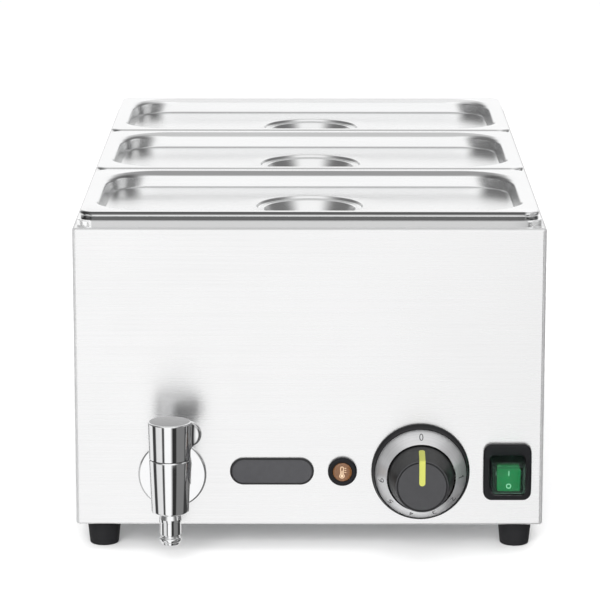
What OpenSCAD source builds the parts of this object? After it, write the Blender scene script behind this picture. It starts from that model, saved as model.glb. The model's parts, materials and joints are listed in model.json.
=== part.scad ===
// Countertop bain marie. A folded steel casing carries a water tank with three
// lidded food pans. A drain tap and a row of controls sit on the front panel.
// X runs to the right, Y from front to back, Z up from the tabletop.

/* [Food pans] */
// Size of a pan flange across the casing
pan_w = 325; // [315:1:335]
// Size of a pan flange from front to back
pan_l = 176; // [172:1:182]
// Depth of a pan from its flange to its underside
pan_depth = 150; // [140:1:150]
// Sheet thickness of the pans and lids
pan_t = 0.8; // [0.6:0.1:1]
// Width of the flat flange round a pan opening
pan_flange_w = 12.5; // [12:0.5:13]
// Height of the turned-down edge of a pan flange
pan_rim_h = 5; // [4.5:0.1:6]
// Plan radius of the flange corners
pan_corner_r = 11.5; // [10:0.5:14]
// Plan radius of the opening corners
pan_open_r = 30; // [28:1:34]
// Radius of the edge between flange and wall
pan_lip_r = 4; // [3:0.5:5]
// Radius between wall and bottom
pan_floor_r = 16; // [12:1:18]
// Slope of the pan walls in degrees
pan_draft = 2; // [1:0.5:2.5]
// Gap between neighbouring pan flanges
pan_gap = 0.5; // [0.4:0.1:1.5]

/* [Lids] */
// Distance from the edge of a lid to the edge of its pan
lid_inset = 2; // [1.5:0.1:3]
// Height of a lid above its pan flange
lid_h = 5.4; // [5:0.1:7]
// Height of the shadow gap below the outer edge of a lid
lid_gap = 1.6; // [1:0.1:2]
// Width of the flat flange round the lid well
lid_flange_w = 12; // [11:0.5:14]
// Plan radius of the lid corners
lid_corner_r = 11; // [9:0.5:13]
// Depth of the well pressed into a lid
lid_well_depth = 12; // [10:0.5:14]
// Plan radius of the well corners
lid_well_r = 30; // [26:1:34]
// Radius of the edge between lid flange and well wall
lid_lip_r = 6; // [4:0.5:6.5]
// Radius between well wall and well floor
lid_floor_r = 3; // [2.5:0.5:5]
// Slope of the well walls in degrees
lid_draft = 14; // [8:1:18]
// Diameter of the finger recess
recess_d = 77; // [74:1:84]
// Depth of the ledge round the finger bowl
recess_step = 2.2; // [2:0.1:3]
// Diameter of the finger bowl at its ledge
bowl_d = 66; // [60:1:68]
// Depth of the finger bowl below its ledge
bowl_depth = 13; // [12:0.5:13]
// Radius between wall and floor of the finger bowl
bowl_floor_r = 6; // [5:0.5:7]
// Slope of the walls of the finger recess in degrees
recess_draft = 25; // [20:1:28]
// Depth of the strap handle below the well floor
strap_drop = 7.4; // [7:0.1:7.8]
// Width of the strap handle
strap_w = 17; // [14:1:19]
// Thickness of the strap handle
strap_t = 1.5; // [1:0.1:2]

/* [Casing] */
// Distance from a pan flange to the casing side
side_margin = 2.5; // [2:0.1:3]
// Distance from the first and last pan flange to the casing end
end_margin = 3; // [2.5:0.1:3.5]
// Height of the room under the tank for the heating and the controls
room_h = 61.6; // [61:0.1:70]
// Thickness of the casing sheet
sheet_t = 0.8; // [0.6:0.1:1]
// Outside radius of the upright corners
corner_r = 2.6; // [2.4:0.1:4]
// Outside radius of the folded edges
bend_r = 2; // [1.5:0.1:2.2]
// Width of the lip that the pans rest on
deck_lip_w = 8.2; // [7:0.1:8.3]
// Width of the bottom lip that carries the base plate
base_lip_w = 12; // [11:0.5:14]
// Width of the upright flanges behind the rear panel
rear_flange_w = 10; // [9:0.5:12]
// Thickness of the base plate
base_t = 1; // [0.8:0.1:1.5]
// Diameter of the rear and base screws
screw_d = 4; // [3:0.5:4]
// Diameter of a screw head
screw_head_d = 7; // [6:0.5:7.5]
// Height of a screw head
screw_head_h = 2.2; // [1.5:0.1:2.5]
// Length of the rear and base screws below the head
screw_l = 8; // [6:1:10]
// Number of upright vent slots in the rear panel
vent_count = 9; // [4:1:11]
// Width of a vent slot
vent_w = 4; // [3:0.5:5]
// Length of a vent slot
vent_l = 26; // [18:1:30]
// Spacing of the vent slots
vent_pitch = 11; // [9:1:12]

/* [Tank] */
// Distance from the casing side to the tank opening
tank_ledge = 11; // [10.8:0.1:11.5]
// Sheet thickness of the tank
tank_t = 0.8; // [0.6:0.1:1]
// Plan radius of the tank corners
tank_corner_r = 7; // [6.5:0.5:8]
// Radius of the edge between tank flange and wall
tank_lip_r = 2.2; // [1.8:0.1:2.4]
// Radius between tank wall and floor
tank_floor_r = 5; // [4:0.5:6]
// Space for water below the pans
water_gap = 6.3; // [5:0.1:6.5]
// Distance of the drain from the front panel
drain_d = 46; // [44:1:60]

/* [Feet] */
// Height of a foot below the casing
foot_h = 19.2; // [17:0.1:24]
// Diameter of a foot at the casing
foot_top_d = 24.3; // [22:0.1:26]
// Diameter of a foot at the tabletop
foot_base_d = 20.7; // [18:0.1:21]
// Distance of a foot axis from the casing side
foot_inset_x = 18.5; // [17:0.5:24]
// Distance of a foot axis from the casing front or back
foot_inset_y = 22; // [18:0.5:30]
// Depth of the screw pocket in a foot
foot_pocket = 10; // [8:0.5:11]

/* [Tap] */
// Distance of the tap axis from the right side of the casing
tap_inset = 261.5; // [255:0.5:265]
// Height of the tap inlet above the casing bottom
tap_rise = 37.2; // [36:0.1:38]
// Distance of the tap axis in front of the panel
tap_reach = 37.3; // [34:0.1:45]
// Diameter of the tap handle at its top
tap_top_d = 30.2; // [29.5:0.1:31]
// Diameter of the tap at the slit between body and handle
tap_d = 28.8; // [28:0.1:29.4]
// Diameter of the tap body at its bottom
tap_bottom_d = 26.2; // [26:0.1:27.8]
// Height of the tap body
tap_body_h = 38.1; // [37:0.1:39]
// Depth of the tap body below its inlet
tap_body_drop = 16.9; // [16:0.1:17.5]
// Slit between tap body and handle
tap_slit = 0.4; // [0.3:0.1:0.8]
// Height of the tap handle
handle_h = 26.3; // [24:0.1:28]
// Reach of the handle wing from the tap axis
wing_reach = 22.1; // [20:0.1:24]
// Half thickness of the wing at the tap axis
wing_root_r = 4; // [3.6:0.1:5]
// Radius of the wing tip in plan
wing_tip_r = 2.6; // [2:0.1:3.5]
// Diameter of the plug that opens and closes the tap
plug_d = 18; // [17:0.1:18]
// Diameter of the plug stem
stem_d = 10; // [9.8:0.1:10.4]
// Width of the square drive on the stem
drive_w = 6.8; // [6:0.1:6.8]
// Diameter of the water ports
port_d = 10; // [8:0.5:10]
// Diameter of the threaded shank through the panel
shank_d = 18; // [17:0.5:18]
// Length of the shank behind the panel
shank_in = 20; // [18:1:22]
// Diameter of the rosette on the panel
rosette_d = 48; // [42:1:50]
// Thickness of the rosette
rosette_t = 3.4; // [2.5:0.1:5]
// Diameter of the collar of the spout
spout_d = 15.6; // [15.4:0.1:16]
// Diameter of the straight part of the spout
spout_pipe_d = 15; // [14.6:0.1:15.2]
// Diameter of the neck of the spout in the tap body
spout_neck_d = 14.2; // [13.8:0.1:14.4]
// Diameter of the groove above the end of the spout
spout_groove_d = 12.4; // [12:0.1:13]
// Length of the spout below the tap body
spout_l = 23; // [21:0.1:23.5]
// Diameter of the bore of the spout
spout_bore = 9; // [8:0.5:9.5]
// Radial clearance of a turning fit
turning_fit = 0.05; // [0.02:0.01:0.1]
// Radial clearance of a fixed fit
fixed_fit = 0.1; // [0.05:0.01:0.15]
// Wall thickness of the drain hose
hose_t = 2.4; // [2:0.1:2.5]
// Bend radius of the drain hose
hose_bend_r = 14; // [13:0.5:14.5]

/* [Controls] */
// Height of the control row above the casing bottom
control_rise = 39.4; // [38.5:0.1:40]
// Distance of the middle of the bare badge from the right side of the casing
badge_inset = 191.3; // [190:0.1:195]
// Length of the badge
badge_l = 59.2; // [50:0.1:60]
// Height of the badge
badge_h = 19.4; // [16:0.1:20]
// Thickness of the badge
badge_t = 1.6; // [1.2:0.1:2]
// Distance of the lamp axis from the right side of the casing
lamp_inset = 141.6; // [139:0.1:143]
// Diameter of the lamp bezel
lamp_d = 20.5; // [19:0.1:22]
// Height of the lamp bezel
lamp_h = 3.6; // [3:0.1:4.5]
// Diameter of the lamp lens
lens_d = 13.4; // [13:0.1:14]
// Diameter of the lamp body
lamp_body_d = 12; // [10:0.5:12]
// Length of the lamp body behind the panel
lamp_body_l = 24; // [20:1:30]
// Distance of the dial axis from the right side of the casing
dial_inset = 86.6; // [85:0.1:89]
// Diameter of the dial at the panel
dial_d = 69.3; // [68:0.1:70]
// Diameter of the silver ring at its outer edge
ring_d = 64.4; // [63:0.1:65]
// Height of the outer edge of the silver ring
ring_h0 = 7; // [6:0.1:8]
// Diameter of the silver ring at its inner edge
ring_top_d = 48.4; // [48:0.1:50]
// Height of the inner edge of the silver ring
ring_h1 = 18.6; // [16:0.1:20]
// Thickness of the silver ring
ring_t = 0.6; // [0.5:0.1:0.8]
// Wall thickness of the dial moulding
dial_t = 1.8; // [1.5:0.1:2.2]
// Diameter of the knob at its foot
knob_d = 47.2; // [46:0.1:47.2]
// Diameter of the knob at its face
knob_face_d = 37; // [36:0.1:40]
// Height of the knob face in front of the panel
knob_h = 41; // [36:0.1:43]
// Radius of the knob edge
knob_edge_r = 1.4; // [1:0.1:2]
// Width of the pointer inlay
pointer_w = 4.6; // [4:0.1:5]
// Depth of the pointer inlay
pointer_t = 1.2; // [1:0.1:1.5]
// Diameter of the thermostat spindle
spindle_d = 6; // [5.8:0.1:6.2]
// Size of the square thermostat body
thermostat_w = 34; // [32:1:35]
// Depth of the thermostat body
thermostat_d = 25; // [22:1:30]
// Spacing of the thermostat screws
thermostat_pitch = 28; // [27:0.5:28]
// Distance of the middle of the switch from the right side of the casing
switch_inset = 25.4; // [24:0.1:27]
// Width of the switch frame
frame_w = 34; // [33:0.1:35]
// Height of the switch frame
frame_h = 40.7; // [39:0.1:42]
// Thickness of the switch frame
frame_t = 4; // [3.5:0.1:5]
// Corner radius of the switch frame
frame_r = 5.6; // [5:0.1:6.5]
// Width of the clear switch cap
cap_w = 24.5; // [24:0.1:26]
// Height of the clear switch cap
cap_h = 24.7; // [24.5:0.1:26]
// Reach of the clear switch cap in front of the panel
cap_reach = 22; // [21.8:0.1:24]
// Wall thickness of the clear switch cap
cap_t = 1; // [0.8:0.1:1]
// Corner radius of the clear switch cap
cap_r = 3; // [2:0.1:4]
// Width of the rocker
rocker_w = 16.4; // [15:0.1:16.5]
// Height of the rocker
rocker_h = 17; // [15:0.1:17.5]
// Distance of the rocker face in front of the panel
rocker_reach = 18.6; // [17.5:0.1:18.8]
// Distance of the rocker axis in front of the panel
pivot_reach = 6; // [5.8:0.1:6.4]
// Diameter of the rocker pin
pin_d = 2.4; // [2:0.1:2.6]
// Lean of the rocker at rest in degrees
rocker_lean = 6; // [5:0.5:7]
// Width of the switch body
switch_w = 21.6; // [21:0.1:22]
// Height of the switch body
switch_h = 29.6; // [28:0.1:30]
// Depth of the switch body behind the panel
switch_d = 27; // [24:1:30]

/* [Heating] */
// Diameter of the heating tube
tube_d = 8; // [6.5:0.1:8]
// Spacing of the heating tube runs
tube_pitch = 60; // [50:1:64]
// Distance of the front bend of the heating tube from the front panel
tube_front = 200; // [190:1:210]
// Length of the straight heating tube runs
tube_run = 240; // [220:1:250]
// Width of a clamp bar
clamp_w = 20; // [16:1:24]
// Thickness of a clamp bar
clamp_t = 2; // [1.5:0.1:2.5]
// Diameter of a clamp stud
stud_d = 5; // [4:0.5:5]
// Diameter of the temperature bulb
bulb_d = 6; // [5:0.1:6]
// Length of the temperature bulb
bulb_l = 80; // [60:1:90]
// Distance of the temperature bulb from the front panel
bulb_back = 100; // [95:1:110]
// Diameter of the capillary tube
capillary_d = 2; // [1.6:0.1:2.2]
// Diameter of the safety cut-out
cutout_d = 16; // [14:0.5:18]
// Distance of the safety cut-out from the front panel
cutout_back = 140; // [130:1:145]

/* [Supply] */
// Distance of the cable gland axis from the right side of the casing
gland_inset = 53; // [49:1:60]
// Height of the cable gland above the casing bottom
gland_rise = 27; // [25:0.5:32]
// Reach of the cable gland behind the casing
gland_reach = 18; // [16:0.5:22]
// Diameter of the gland thread
gland_d = 16; // [14:0.5:16]
// Diameter of the cord hole
cord_d = 8; // [6:0.5:9]
// Width across the flats of the gland hexagons
gland_hex = 22; // [20:0.5:24]
// Distance of the terminal block from the rear panel
block_back = 80; // [60:1:100]
// Diameter of an insulated lead
lead_d = 2.2; // [1.8:0.1:2.3]

/* [Hidden] */
$fn = 64;
steel = "#d9dadb";
polished = "#e6e7e8";
chrome = "#cfd2d5";
black = "#1b1b1c";
graphite = "#3a3a3b";

lid_w = pan_w - 2 * lid_inset;
lid_l = pan_l - 2 * lid_inset;
casing_w = pan_w + 2 * side_margin;
casing_d = 3 * pan_l + 2 * pan_gap + 2 * end_margin;
casing_h = room_h + tank_t + water_gap + pan_depth - pan_rim_h;
deck_z = foot_h + casing_h;
pan_z = deck_z + pan_rim_h;
lid_z = pan_z + lid_h;
tap_front = tap_reach + tap_top_d / 2;
overall_d = casing_d + tap_front + gland_reach;
front_y = tap_front - overall_d / 2;
pan_pitch = pan_l + pan_gap;
pan_depths = [for (i = [0:2]) end_margin + pan_l / 2 + i * pan_pitch];

// Places on the front and rear panels, measured from the right side
right_x = casing_w / 2;
tap_x = right_x - tap_inset;
badge_x = right_x - badge_inset;
lamp_x = right_x - lamp_inset;
dial_x = right_x - dial_inset;
switch_x = right_x - switch_inset;
gland_x = right_x - gland_inset;

// Clear distance between sheet parts that lie next to each other
sheet_gap = 0.2;
tank_top_z = deck_z - sheet_t;
tank_floor_z = pan_z - pan_depth - water_gap;
tank_under_z = tank_floor_z - tank_t;
tank_open_w = casing_w - 2 * tank_ledge;
tank_open_l = casing_d - 2 * tank_ledge;
tank_flange_w = casing_w - 2 * (bend_r + sheet_gap);
tank_flange_l = casing_d - 2 * (bend_r + sheet_gap);
base_z = foot_h + sheet_t;
base_top_z = base_z + base_t;

tap_z = foot_h + tap_rise;
tap_bottom_z = tap_z - tap_body_drop;
tap_top_z = tap_bottom_z + tap_body_h;
handle_z = tap_top_z + tap_slit;
// Heights inside the tap body: nozzle socket, plug seat and bonnet
socket_h = 5;
plug_seat_h = 7.2;
bonnet_h = 4;
bonnet_d = plug_d + 4;
plug_z = tap_bottom_z + plug_seat_h;
bonnet_z = tap_top_z - bonnet_h;
stem_play = 0.2;
// Square drive that the handle sits on
drive_h = 15;
gasket_t = 2;
locknut_t = 6;
locknut_hex = 27;
// Collar of the drain spigot under the tank floor
collar_t = 1.5;

control_z = foot_h + control_rise;
// Foot of the lamp lens in front of the panel, and the nuts behind the panels
lens_foot = 1;
nut_t = 4.5;
lamp_nut_hex = lamp_body_d + 5;
// Play between knob and ring, and height of the knob foot
knob_play = 0.4;
knob_foot = ring_h1 - 2;
knob_bore_h = 26;
spindle_in = 14;

// Front of the switch body inside its frame, and the ears that carry the rocker pin
switch_face = frame_t - 1.6;
ear_t = 2;
ear_gap = 0.4;

gland_z = foot_h + gland_rise;
tube_r = tube_d / 2;
tube_gap = 0.2;
tube_z = tank_under_z - tube_r - tube_gap;
clamp_z = tube_z - tube_r - tube_gap;
stud_places = [-tube_pitch, 0, tube_pitch];
// Length of the cold ends in front of the heating tube, and of the pins on them
cold_end = 30;
cold_pin = 12;
element_front = tube_front - cold_end - cold_pin;

// Capillary tube: run behind the thermostat, radius of its turn, distance of the bulb from the dial axis
capillary_run = 40;
capillary_turn = 12;
bulb_side = 20;

// Terminal block: size, bore of a way, and the place of its front face
block = [46, 18, 16];
block_ways = 3;
block_bore = 5;
block_front = casing_d - block_back;
way_z = base_top_z + block.z / 2;
// Flat connector tabs: thickness, width and length
tab = [0.8, 6.3, 8];
// Clear distance between a lead's end and its tab, and depth of a lead's end in the block
lead_gap = 0.3;
lead_in = 4;
// Depths where the leads bend: behind the controls, below the bulb, on the way to the block
bend_front = 60;
bend_middle = 120;
bend_back = 180;
bend_block = 300;
// Loop of the leads between the controls, rise to the element, height above the base plate
lead_loop = 14;
lead_rise = 28;
lead_floor = 6;
lead_cross = 60;
lamp_pin = 3;
thermostat_tab = thermostat_w / 4;
thermostat_end = sheet_t + thermostat_d + tab.z + lead_gap;
switch_tab = switch_w / 4;
switch_end = switch_d + tab.z + lead_gap;
lamp_end = lamp_body_l + lead_gap;
clamp_depths = [tube_front + tube_run / 4, tube_front + 3 * tube_run / 4];

// Shared shapes

// Points along an arc, both ends included
function arc(c, r, a0, a1, n) =
    [for (i = [0:n]) c + r * [cos(a0 + (a1 - a0) * i / n), sin(a0 + (a1 - a0) * i / n)]];

// Place inside the casing, at a depth behind the front panel
module inside(x, d, z) {
    translate([x, front_y + d, z])
        children();
}

// Place on the front panel: x to the right, y up, z towards the viewer
module on_panel(x, z) {
    translate([x, front_y, z])
        rotate([90, 0, 0])
            children();
}

// Place on the rear panel: z away from the casing
module on_rear(x, z) {
    translate([x, front_y + casing_d, z])
        rotate([-90, 0, 0])
            children();
}

// Rectangle with round corners, centred
module round_rect(w, l, r) {
    square([w - 2 * r, l], center = true);
    square([w, l - 2 * r], center = true);
    for (sx = [-1, 1], sy = [-1, 1])
        translate([sx * (w / 2 - r), sy * (l / 2 - r)])
            circle(r);
}

// Slot with round ends along y, centred
module slot(w, l) {
    square([w, l - w], center = true);
    for (s = [-1, 1])
        translate([0, s * (l - w) / 2])
            circle(d = w);
}

// Ring standing on z = 0
module ring(h, d_out, d_in) {
    linear_extrude(h)
        difference() {
            circle(d = d_out);
            circle(d = d_in);
        }
}

// Hexagon nut standing on z = 0
module hex_nut(h, flats, bore) {
    linear_extrude(h)
        difference() {
            circle(d = flats / cos(30), $fn = 6);
            circle(d = bore);
        }
}

// Screw with its head on z = 0 and its shank down
module screw(d, l, head_d, head_h) {
    rotate_extrude()
        polygon([[0, -l], [d / 2, -l], [d / 2, 0], [head_d / 2, 0],
            [head_d / 2, head_h / 2], [head_d / 2 - head_h / 2, head_h], [0, head_h]]);
}

// Carries an outline round a rounded rectangle. The outline's x runs outwards from the corner axis.
module carried(w, l, r) {
    for (k = [0:3]) {
        along = k % 2 == 0 ? w : l;
        across = k % 2 == 0 ? l : w;
        rotate(90 * k) {
            translate([0, across / 2 - r, 0])
                rotate([90, 0, 90])
                    linear_extrude(along - 2 * r, center = true)
                        children();
            translate([along / 2 - r, across / 2 - r, 0])
                rotate_extrude(angle = 90)
                    children();
        }
    }
}

// Pressed well that hangs from z = 0: lip, sloping wall, floor radius and floor
module pressed_well(w, l, r, lip_r, draft, depth, floor_r, t) {
    top = [r + lip_r, -lip_r];
    out = [cos(draft), -sin(draft)];
    wall = top - lip_r * out;
    run = (wall.y + floor_r * sin(draft) + depth - t - floor_r) / cos(draft);
    low = [wall.x - run * sin(draft) - floor_r * cos(draft), t + floor_r - depth];
    shrink = 2 * (r - low.x);
    carried(w, l, r)
        polygon(concat(
            arc(top, lip_r, 90, 180 - draft, 4),
            arc(low, floor_r, -draft, -90, 5),
            arc(low, floor_r + t, -90, -draft, 5),
            arc(top, lip_r - t, 180 - draft, 90, 4)));
    translate([0, 0, -depth])
        linear_extrude(t)
            round_rect(w - shrink, l - shrink, low.x);
}

// Upright band of sheet round a rounded rectangle, hanging from z = 0
module band(w, l, r, t, drop) {
    translate([0, 0, -drop])
        linear_extrude(drop)
            difference() {
                round_rect(w, l, r);
                round_rect(w - 2 * t, l - 2 * t, r - t);
            }
}

// Flat flange below z = 0 with a rounded hole
module flange(w, l, r, t, hole_w, hole_l, hole_r) {
    translate([0, 0, -t])
        linear_extrude(t)
            difference() {
                round_rect(w, l, r);
                round_rect(hole_w, hole_l, hole_r);
            }
}

// Tube through a list of points, with a slightly swollen round joint turned to a heading at each bend
module tube_path(points, d, heading = 0) {
    joint_d = 1.15 * d;
    for (i = [0:len(points) - 2]) {
        step = points[i + 1] - points[i];
        flat = norm([step.x, step.y]);
        translate(points[i])
            rotate([0, atan2(flat, step.z), atan2(step.y, step.x)])
                cylinder(h = norm(step), d = d);
        if (i > 0)
            translate(points[i])
                rotate([0, 0, heading])
                    sphere(d = joint_d);
    }
}

// Casing

// Flat lip round the inside of the casing, on z = 0
module casing_lip(l, lip_w) {
    linear_extrude(sheet_t)
        difference() {
            square([casing_w - 2 * corner_r, l - 2 * corner_r], center = true);
            square([casing_w - 2 * lip_w, l - 2 * lip_w], center = true);
        }
}

// Folded outline of the casing wall, with a bend to each lip
module casing_outline() {
    turn = corner_r - bend_r;
    polygon(concat(
        [[0, deck_z]],
        arc([turn, deck_z - bend_r], bend_r, 90, 0, 4),
        arc([turn, foot_h + bend_r], bend_r, 0, -90, 4),
        [[0, foot_h], [0, foot_h + sheet_t]],
        arc([turn, foot_h + bend_r], bend_r - sheet_t, -90, 0, 4),
        arc([turn, deck_z - bend_r], bend_r - sheet_t, 0, 90, 4),
        [[0, deck_z - sheet_t]]));
}

module foot_places() {
    for (sx = [-1, 1], d = [foot_inset_y, casing_d - foot_inset_y])
        inside(sx * (casing_w / 2 - foot_inset_x), d, 0)
            children();
}

module rear_screw_places() {
    for (sx = [-1, 1], k = [1, 3, 5])
        on_rear(sx * (casing_w / 2 - rear_flange_w / 2), foot_h + k * casing_h / 6)
            children();
}

module base_screw_places() {
    for (sx = [-1, 1], k = [1, 2, 3])
        inside(sx * (casing_w / 2 - base_lip_w / 2), k * casing_d / 4, foot_h)
            children();
}

module panel_cutouts() {
    on_panel(tap_x, tap_z)
        cylinder(h = 2 * bend_r, d = shank_d + 4 * fixed_fit, center = true);
    on_panel(lamp_x, control_z)
        cylinder(h = 2 * bend_r, d = lamp_body_d + 4 * fixed_fit, center = true);
    on_panel(dial_x, control_z) {
        cylinder(h = 2 * bend_r, d = spindle_d + 4, center = true);
        for (s = [-1, 1])
            translate([s * thermostat_pitch / 2, 0, 0])
                cylinder(h = 2 * bend_r, d = screw_d + 2 * fixed_fit, center = true);
    }
    on_panel(switch_x, control_z)
        cube([switch_w + 4 * fixed_fit, switch_h + 4 * fixed_fit, 2 * bend_r], center = true);
}

module casing_wrap() {
    // The fold is drawn longer than the casing and cut open at the back
    wrap_l = casing_d + 2 * base_lip_w;
    color(steel)
        difference() {
            union() {
                inside(0, wrap_l / 2, 0) {
                    carried(casing_w, wrap_l, corner_r)
                        casing_outline();
                    translate([0, 0, deck_z - sheet_t])
                        casing_lip(wrap_l, deck_lip_w);
                    translate([0, 0, foot_h])
                        casing_lip(wrap_l, base_lip_w);
                }
                for (sx = [-1, 1])
                    inside(sx * (casing_w - rear_flange_w - sheet_t) / 2, casing_d - 1.5 * sheet_t,
                            foot_h + casing_h / 2)
                        cube([rear_flange_w - sheet_t, sheet_t, casing_h - 2 * sheet_t], center = true);
            }
            inside(-casing_w, casing_d - sheet_t, 0)
                cube([2 * casing_w, 4 * base_lip_w, 2 * deck_z]);
            panel_cutouts();
            rear_screw_places()
                cylinder(h = 6 * sheet_t, d = screw_d + 2 * fixed_fit, center = true);
            base_screw_places()
                cylinder(h = 6 * sheet_t, d = screw_d + 2 * fixed_fit, center = true);
            foot_places()
                cylinder(h = base_z, d = foot_top_d + 2);
        }
}

module rear_panel() {
    lip_len = casing_w - 2 * deck_lip_w - 2 * sheet_gap;
    color(steel)
        difference() {
            union() {
                inside(-casing_w / 2, casing_d - sheet_t, foot_h)
                    cube([casing_w, sheet_t, casing_h - bend_r]);
                inside(0, casing_d - bend_r, deck_z - bend_r)
                    rotate([90, 0, 90])
                        linear_extrude(lip_len, center = true)
                            polygon(concat(
                                [[bend_r - deck_lip_w, bend_r]],
                                arc([0, 0], bend_r, 90, 0, 4),
                                arc([0, 0], bend_r - sheet_t, 0, 90, 4),
                                [[bend_r - deck_lip_w, bend_r - sheet_t]]));
            }
            rear_screw_places()
                cylinder(h = 4 * sheet_t, d = screw_d + 2 * fixed_fit, center = true);
            on_rear(gland_x, gland_z)
                cylinder(h = 4 * sheet_t, d = gland_d + 4 * fixed_fit, center = true);
            for (i = [0:vent_count - 1])
                on_rear(-gland_x + i * vent_pitch, control_z - vent_w)
                    translate([0, 0, -2 * sheet_t])
                        linear_extrude(4 * sheet_t)
                            slot(vent_w, vent_l);
        }
}

module rear_panel_screws() {
    color(chrome)
        rear_screw_places()
            screw(screw_d, screw_l, screw_head_d, screw_head_h);
}

module base_plate() {
    plate_l = casing_d - 2 * bend_r - 2 * sheet_gap;
    color(steel)
        difference() {
            inside(-tank_flange_w / 2, bend_r + sheet_gap, base_z)
                cube([tank_flange_w, plate_l, base_t]);
            foot_places()
                cylinder(h = 2 * base_top_z, d = screw_d + 2 * fixed_fit);
            base_screw_places()
                cylinder(h = 6 * base_t, d = screw_d + 2 * fixed_fit, center = true);
            for (sx = [-1, 1], i = [0:vent_count - 1])
                inside(sx * casing_w / 4, casing_d / 2 + (2 * i - vent_count) * vent_pitch, base_z - base_t)
                    rotate(90)
                        linear_extrude(3 * base_t)
                            slot(vent_w, 2 * vent_l);
        }
}

module base_screws() {
    color(chrome)
        base_screw_places()
            mirror([0, 0, 1])
                screw(screw_d, screw_l, screw_head_d, screw_head_h);
}

module tank() {
    color(steel)
        difference() {
            inside(0, casing_d / 2, tank_top_z) {
                flange(tank_flange_w, tank_flange_l, tank_lip_r, tank_t, tank_open_w + 2 * tank_lip_r,
                    tank_open_l + 2 * tank_lip_r, tank_corner_r + tank_lip_r);
                pressed_well(tank_open_w, tank_open_l, tank_corner_r, tank_lip_r, 0,
                    tank_top_z - tank_under_z, tank_floor_r, tank_t);
            }
            inside(tap_x, drain_d, tank_under_z)
                cylinder(h = 6 * tank_t, d = shank_d + 4 * fixed_fit, center = true);
        }
}

// Feet

module foot(sx, d) {
    pocket_d = screw_head_d + 2;
    bore = screw_d / 2 + fixed_fit;
    base_r = foot_base_d / 2;
    edge = 1;
    color(black)
        inside(sx * (casing_w / 2 - foot_inset_x), d, 0)
            rotate_extrude()
                polygon([[pocket_d / 2, 0], [base_r - edge, 0], [base_r, edge], [foot_top_d / 2, base_z],
                    [bore, base_z], [bore, foot_pocket], [pocket_d / 2, foot_pocket]]);
}

module foot_front_left() {
    foot(-1, foot_inset_y);
}

module foot_front_right() {
    foot(1, foot_inset_y);
}

module foot_rear_left() {
    foot(-1, casing_d - foot_inset_y);
}

module foot_rear_right() {
    foot(1, casing_d - foot_inset_y);
}

module foot_screws() {
    color(chrome)
        foot_places()
            translate([0, 0, foot_pocket])
                mirror([0, 0, 1])
                    screw(screw_d, base_top_z - foot_pocket + screw_d, screw_head_d, screw_head_h);
}

// Food pans and lids

module pan(i) {
    open_w = pan_w - 2 * pan_flange_w;
    open_l = pan_l - 2 * pan_flange_w;
    color(polished)
        inside(0, pan_depths[i], pan_z) {
            flange(pan_w, pan_l, pan_corner_r, pan_t, open_w + 2 * pan_lip_r, open_l + 2 * pan_lip_r,
                pan_open_r + pan_lip_r);
            band(pan_w, pan_l, pan_corner_r, pan_t, pan_rim_h);
            pressed_well(open_w, open_l, pan_open_r, pan_lip_r, pan_draft, pan_depth, pan_floor_r, pan_t);
        }
}

// Stepped finger recess, with z = 0 at the well floor
module finger_recess() {
    r = recess_d / 2;
    bowl_r = bowl_d / 2;
    slope = tan(recess_draft);
    wide_t = pan_t / cos(recess_draft);
    wall_h = bowl_depth - bowl_floor_r * (1 - sin(recess_draft));
    centre = [bowl_r - wall_h * slope - bowl_floor_r * cos(recess_draft),
        bowl_floor_r - bowl_depth - recess_step];
    low_z = -recess_step - pan_t;
    rotate_extrude()
        polygon(concat(
            [[0, centre.y - bowl_floor_r]],
            arc(centre, bowl_floor_r, -90, -recess_draft, 5),
            [[bowl_r, -recess_step], [r - recess_step * slope, -recess_step], [r, 0], [r + wide_t, 0],
                [r + wide_t + low_z * slope, low_z], [bowl_r + wide_t - pan_t * slope, low_z]],
            arc(centre, bowl_floor_r + pan_t, -recess_draft, -90, 5),
            [[0, centre.y - bowl_floor_r - pan_t]]));
}

module lid(i) {
    well_w = lid_w - 2 * lid_flange_w;
    well_l = lid_l - 2 * lid_flange_w;
    color(polished)
        inside(0, pan_depths[i], lid_z) {
            flange(lid_w, lid_l, lid_corner_r, pan_t, well_w + 2 * lid_lip_r, well_l + 2 * lid_lip_r,
                lid_well_r + lid_lip_r);
            band(lid_w, lid_l, lid_corner_r, pan_t, lid_h - lid_gap);
            band(lid_w - 2 * pan_t, lid_l - 2 * pan_t, lid_corner_r - pan_t, pan_t, lid_h);
            difference() {
                pressed_well(well_w, well_l, lid_well_r, lid_lip_r, lid_draft, lid_well_depth,
                    lid_floor_r, pan_t);
                translate([0, 0, -lid_well_depth])
                    cylinder(h = 4 * pan_t, d = recess_d + pan_t, center = true);
            }
            translate([0, 0, pan_t - lid_well_depth])
                finger_recess();
        }
}

// Radius of the bowl wall at a depth below the well floor
function bowl_wall_r(depth) = bowl_d / 2 - (depth - recess_step) * tan(recess_draft);

// Strap across the bowl, with its ends against the bowl wall
module lid_handle(i) {
    low = strap_drop + strap_t;
    low_r = bowl_wall_r(low) - sheet_gap;
    top_r = bowl_wall_r(strap_drop) - sheet_gap;
    color(polished)
        inside(0, pan_depths[i], lid_z + pan_t - lid_well_depth - low)
            intersection() {
                cylinder(h = strap_t, r1 = low_r, r2 = top_r);
                translate([-bowl_d / 2, -strap_w / 2, -strap_t])
                    cube([bowl_d, strap_w, 3 * strap_t]);
            }
}

module pan_front() {
    pan(0);
}

module pan_middle() {
    pan(1);
}

module pan_rear() {
    pan(2);
}

module lid_front() {
    lid(0);
}

module lid_middle() {
    lid(1);
}

module lid_rear() {
    lid(2);
}

module lid_handle_front() {
    lid_handle(0);
}

module lid_handle_middle() {
    lid_handle(1);
}

module lid_handle_rear() {
    lid_handle(2);
}

// Drain tap

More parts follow.
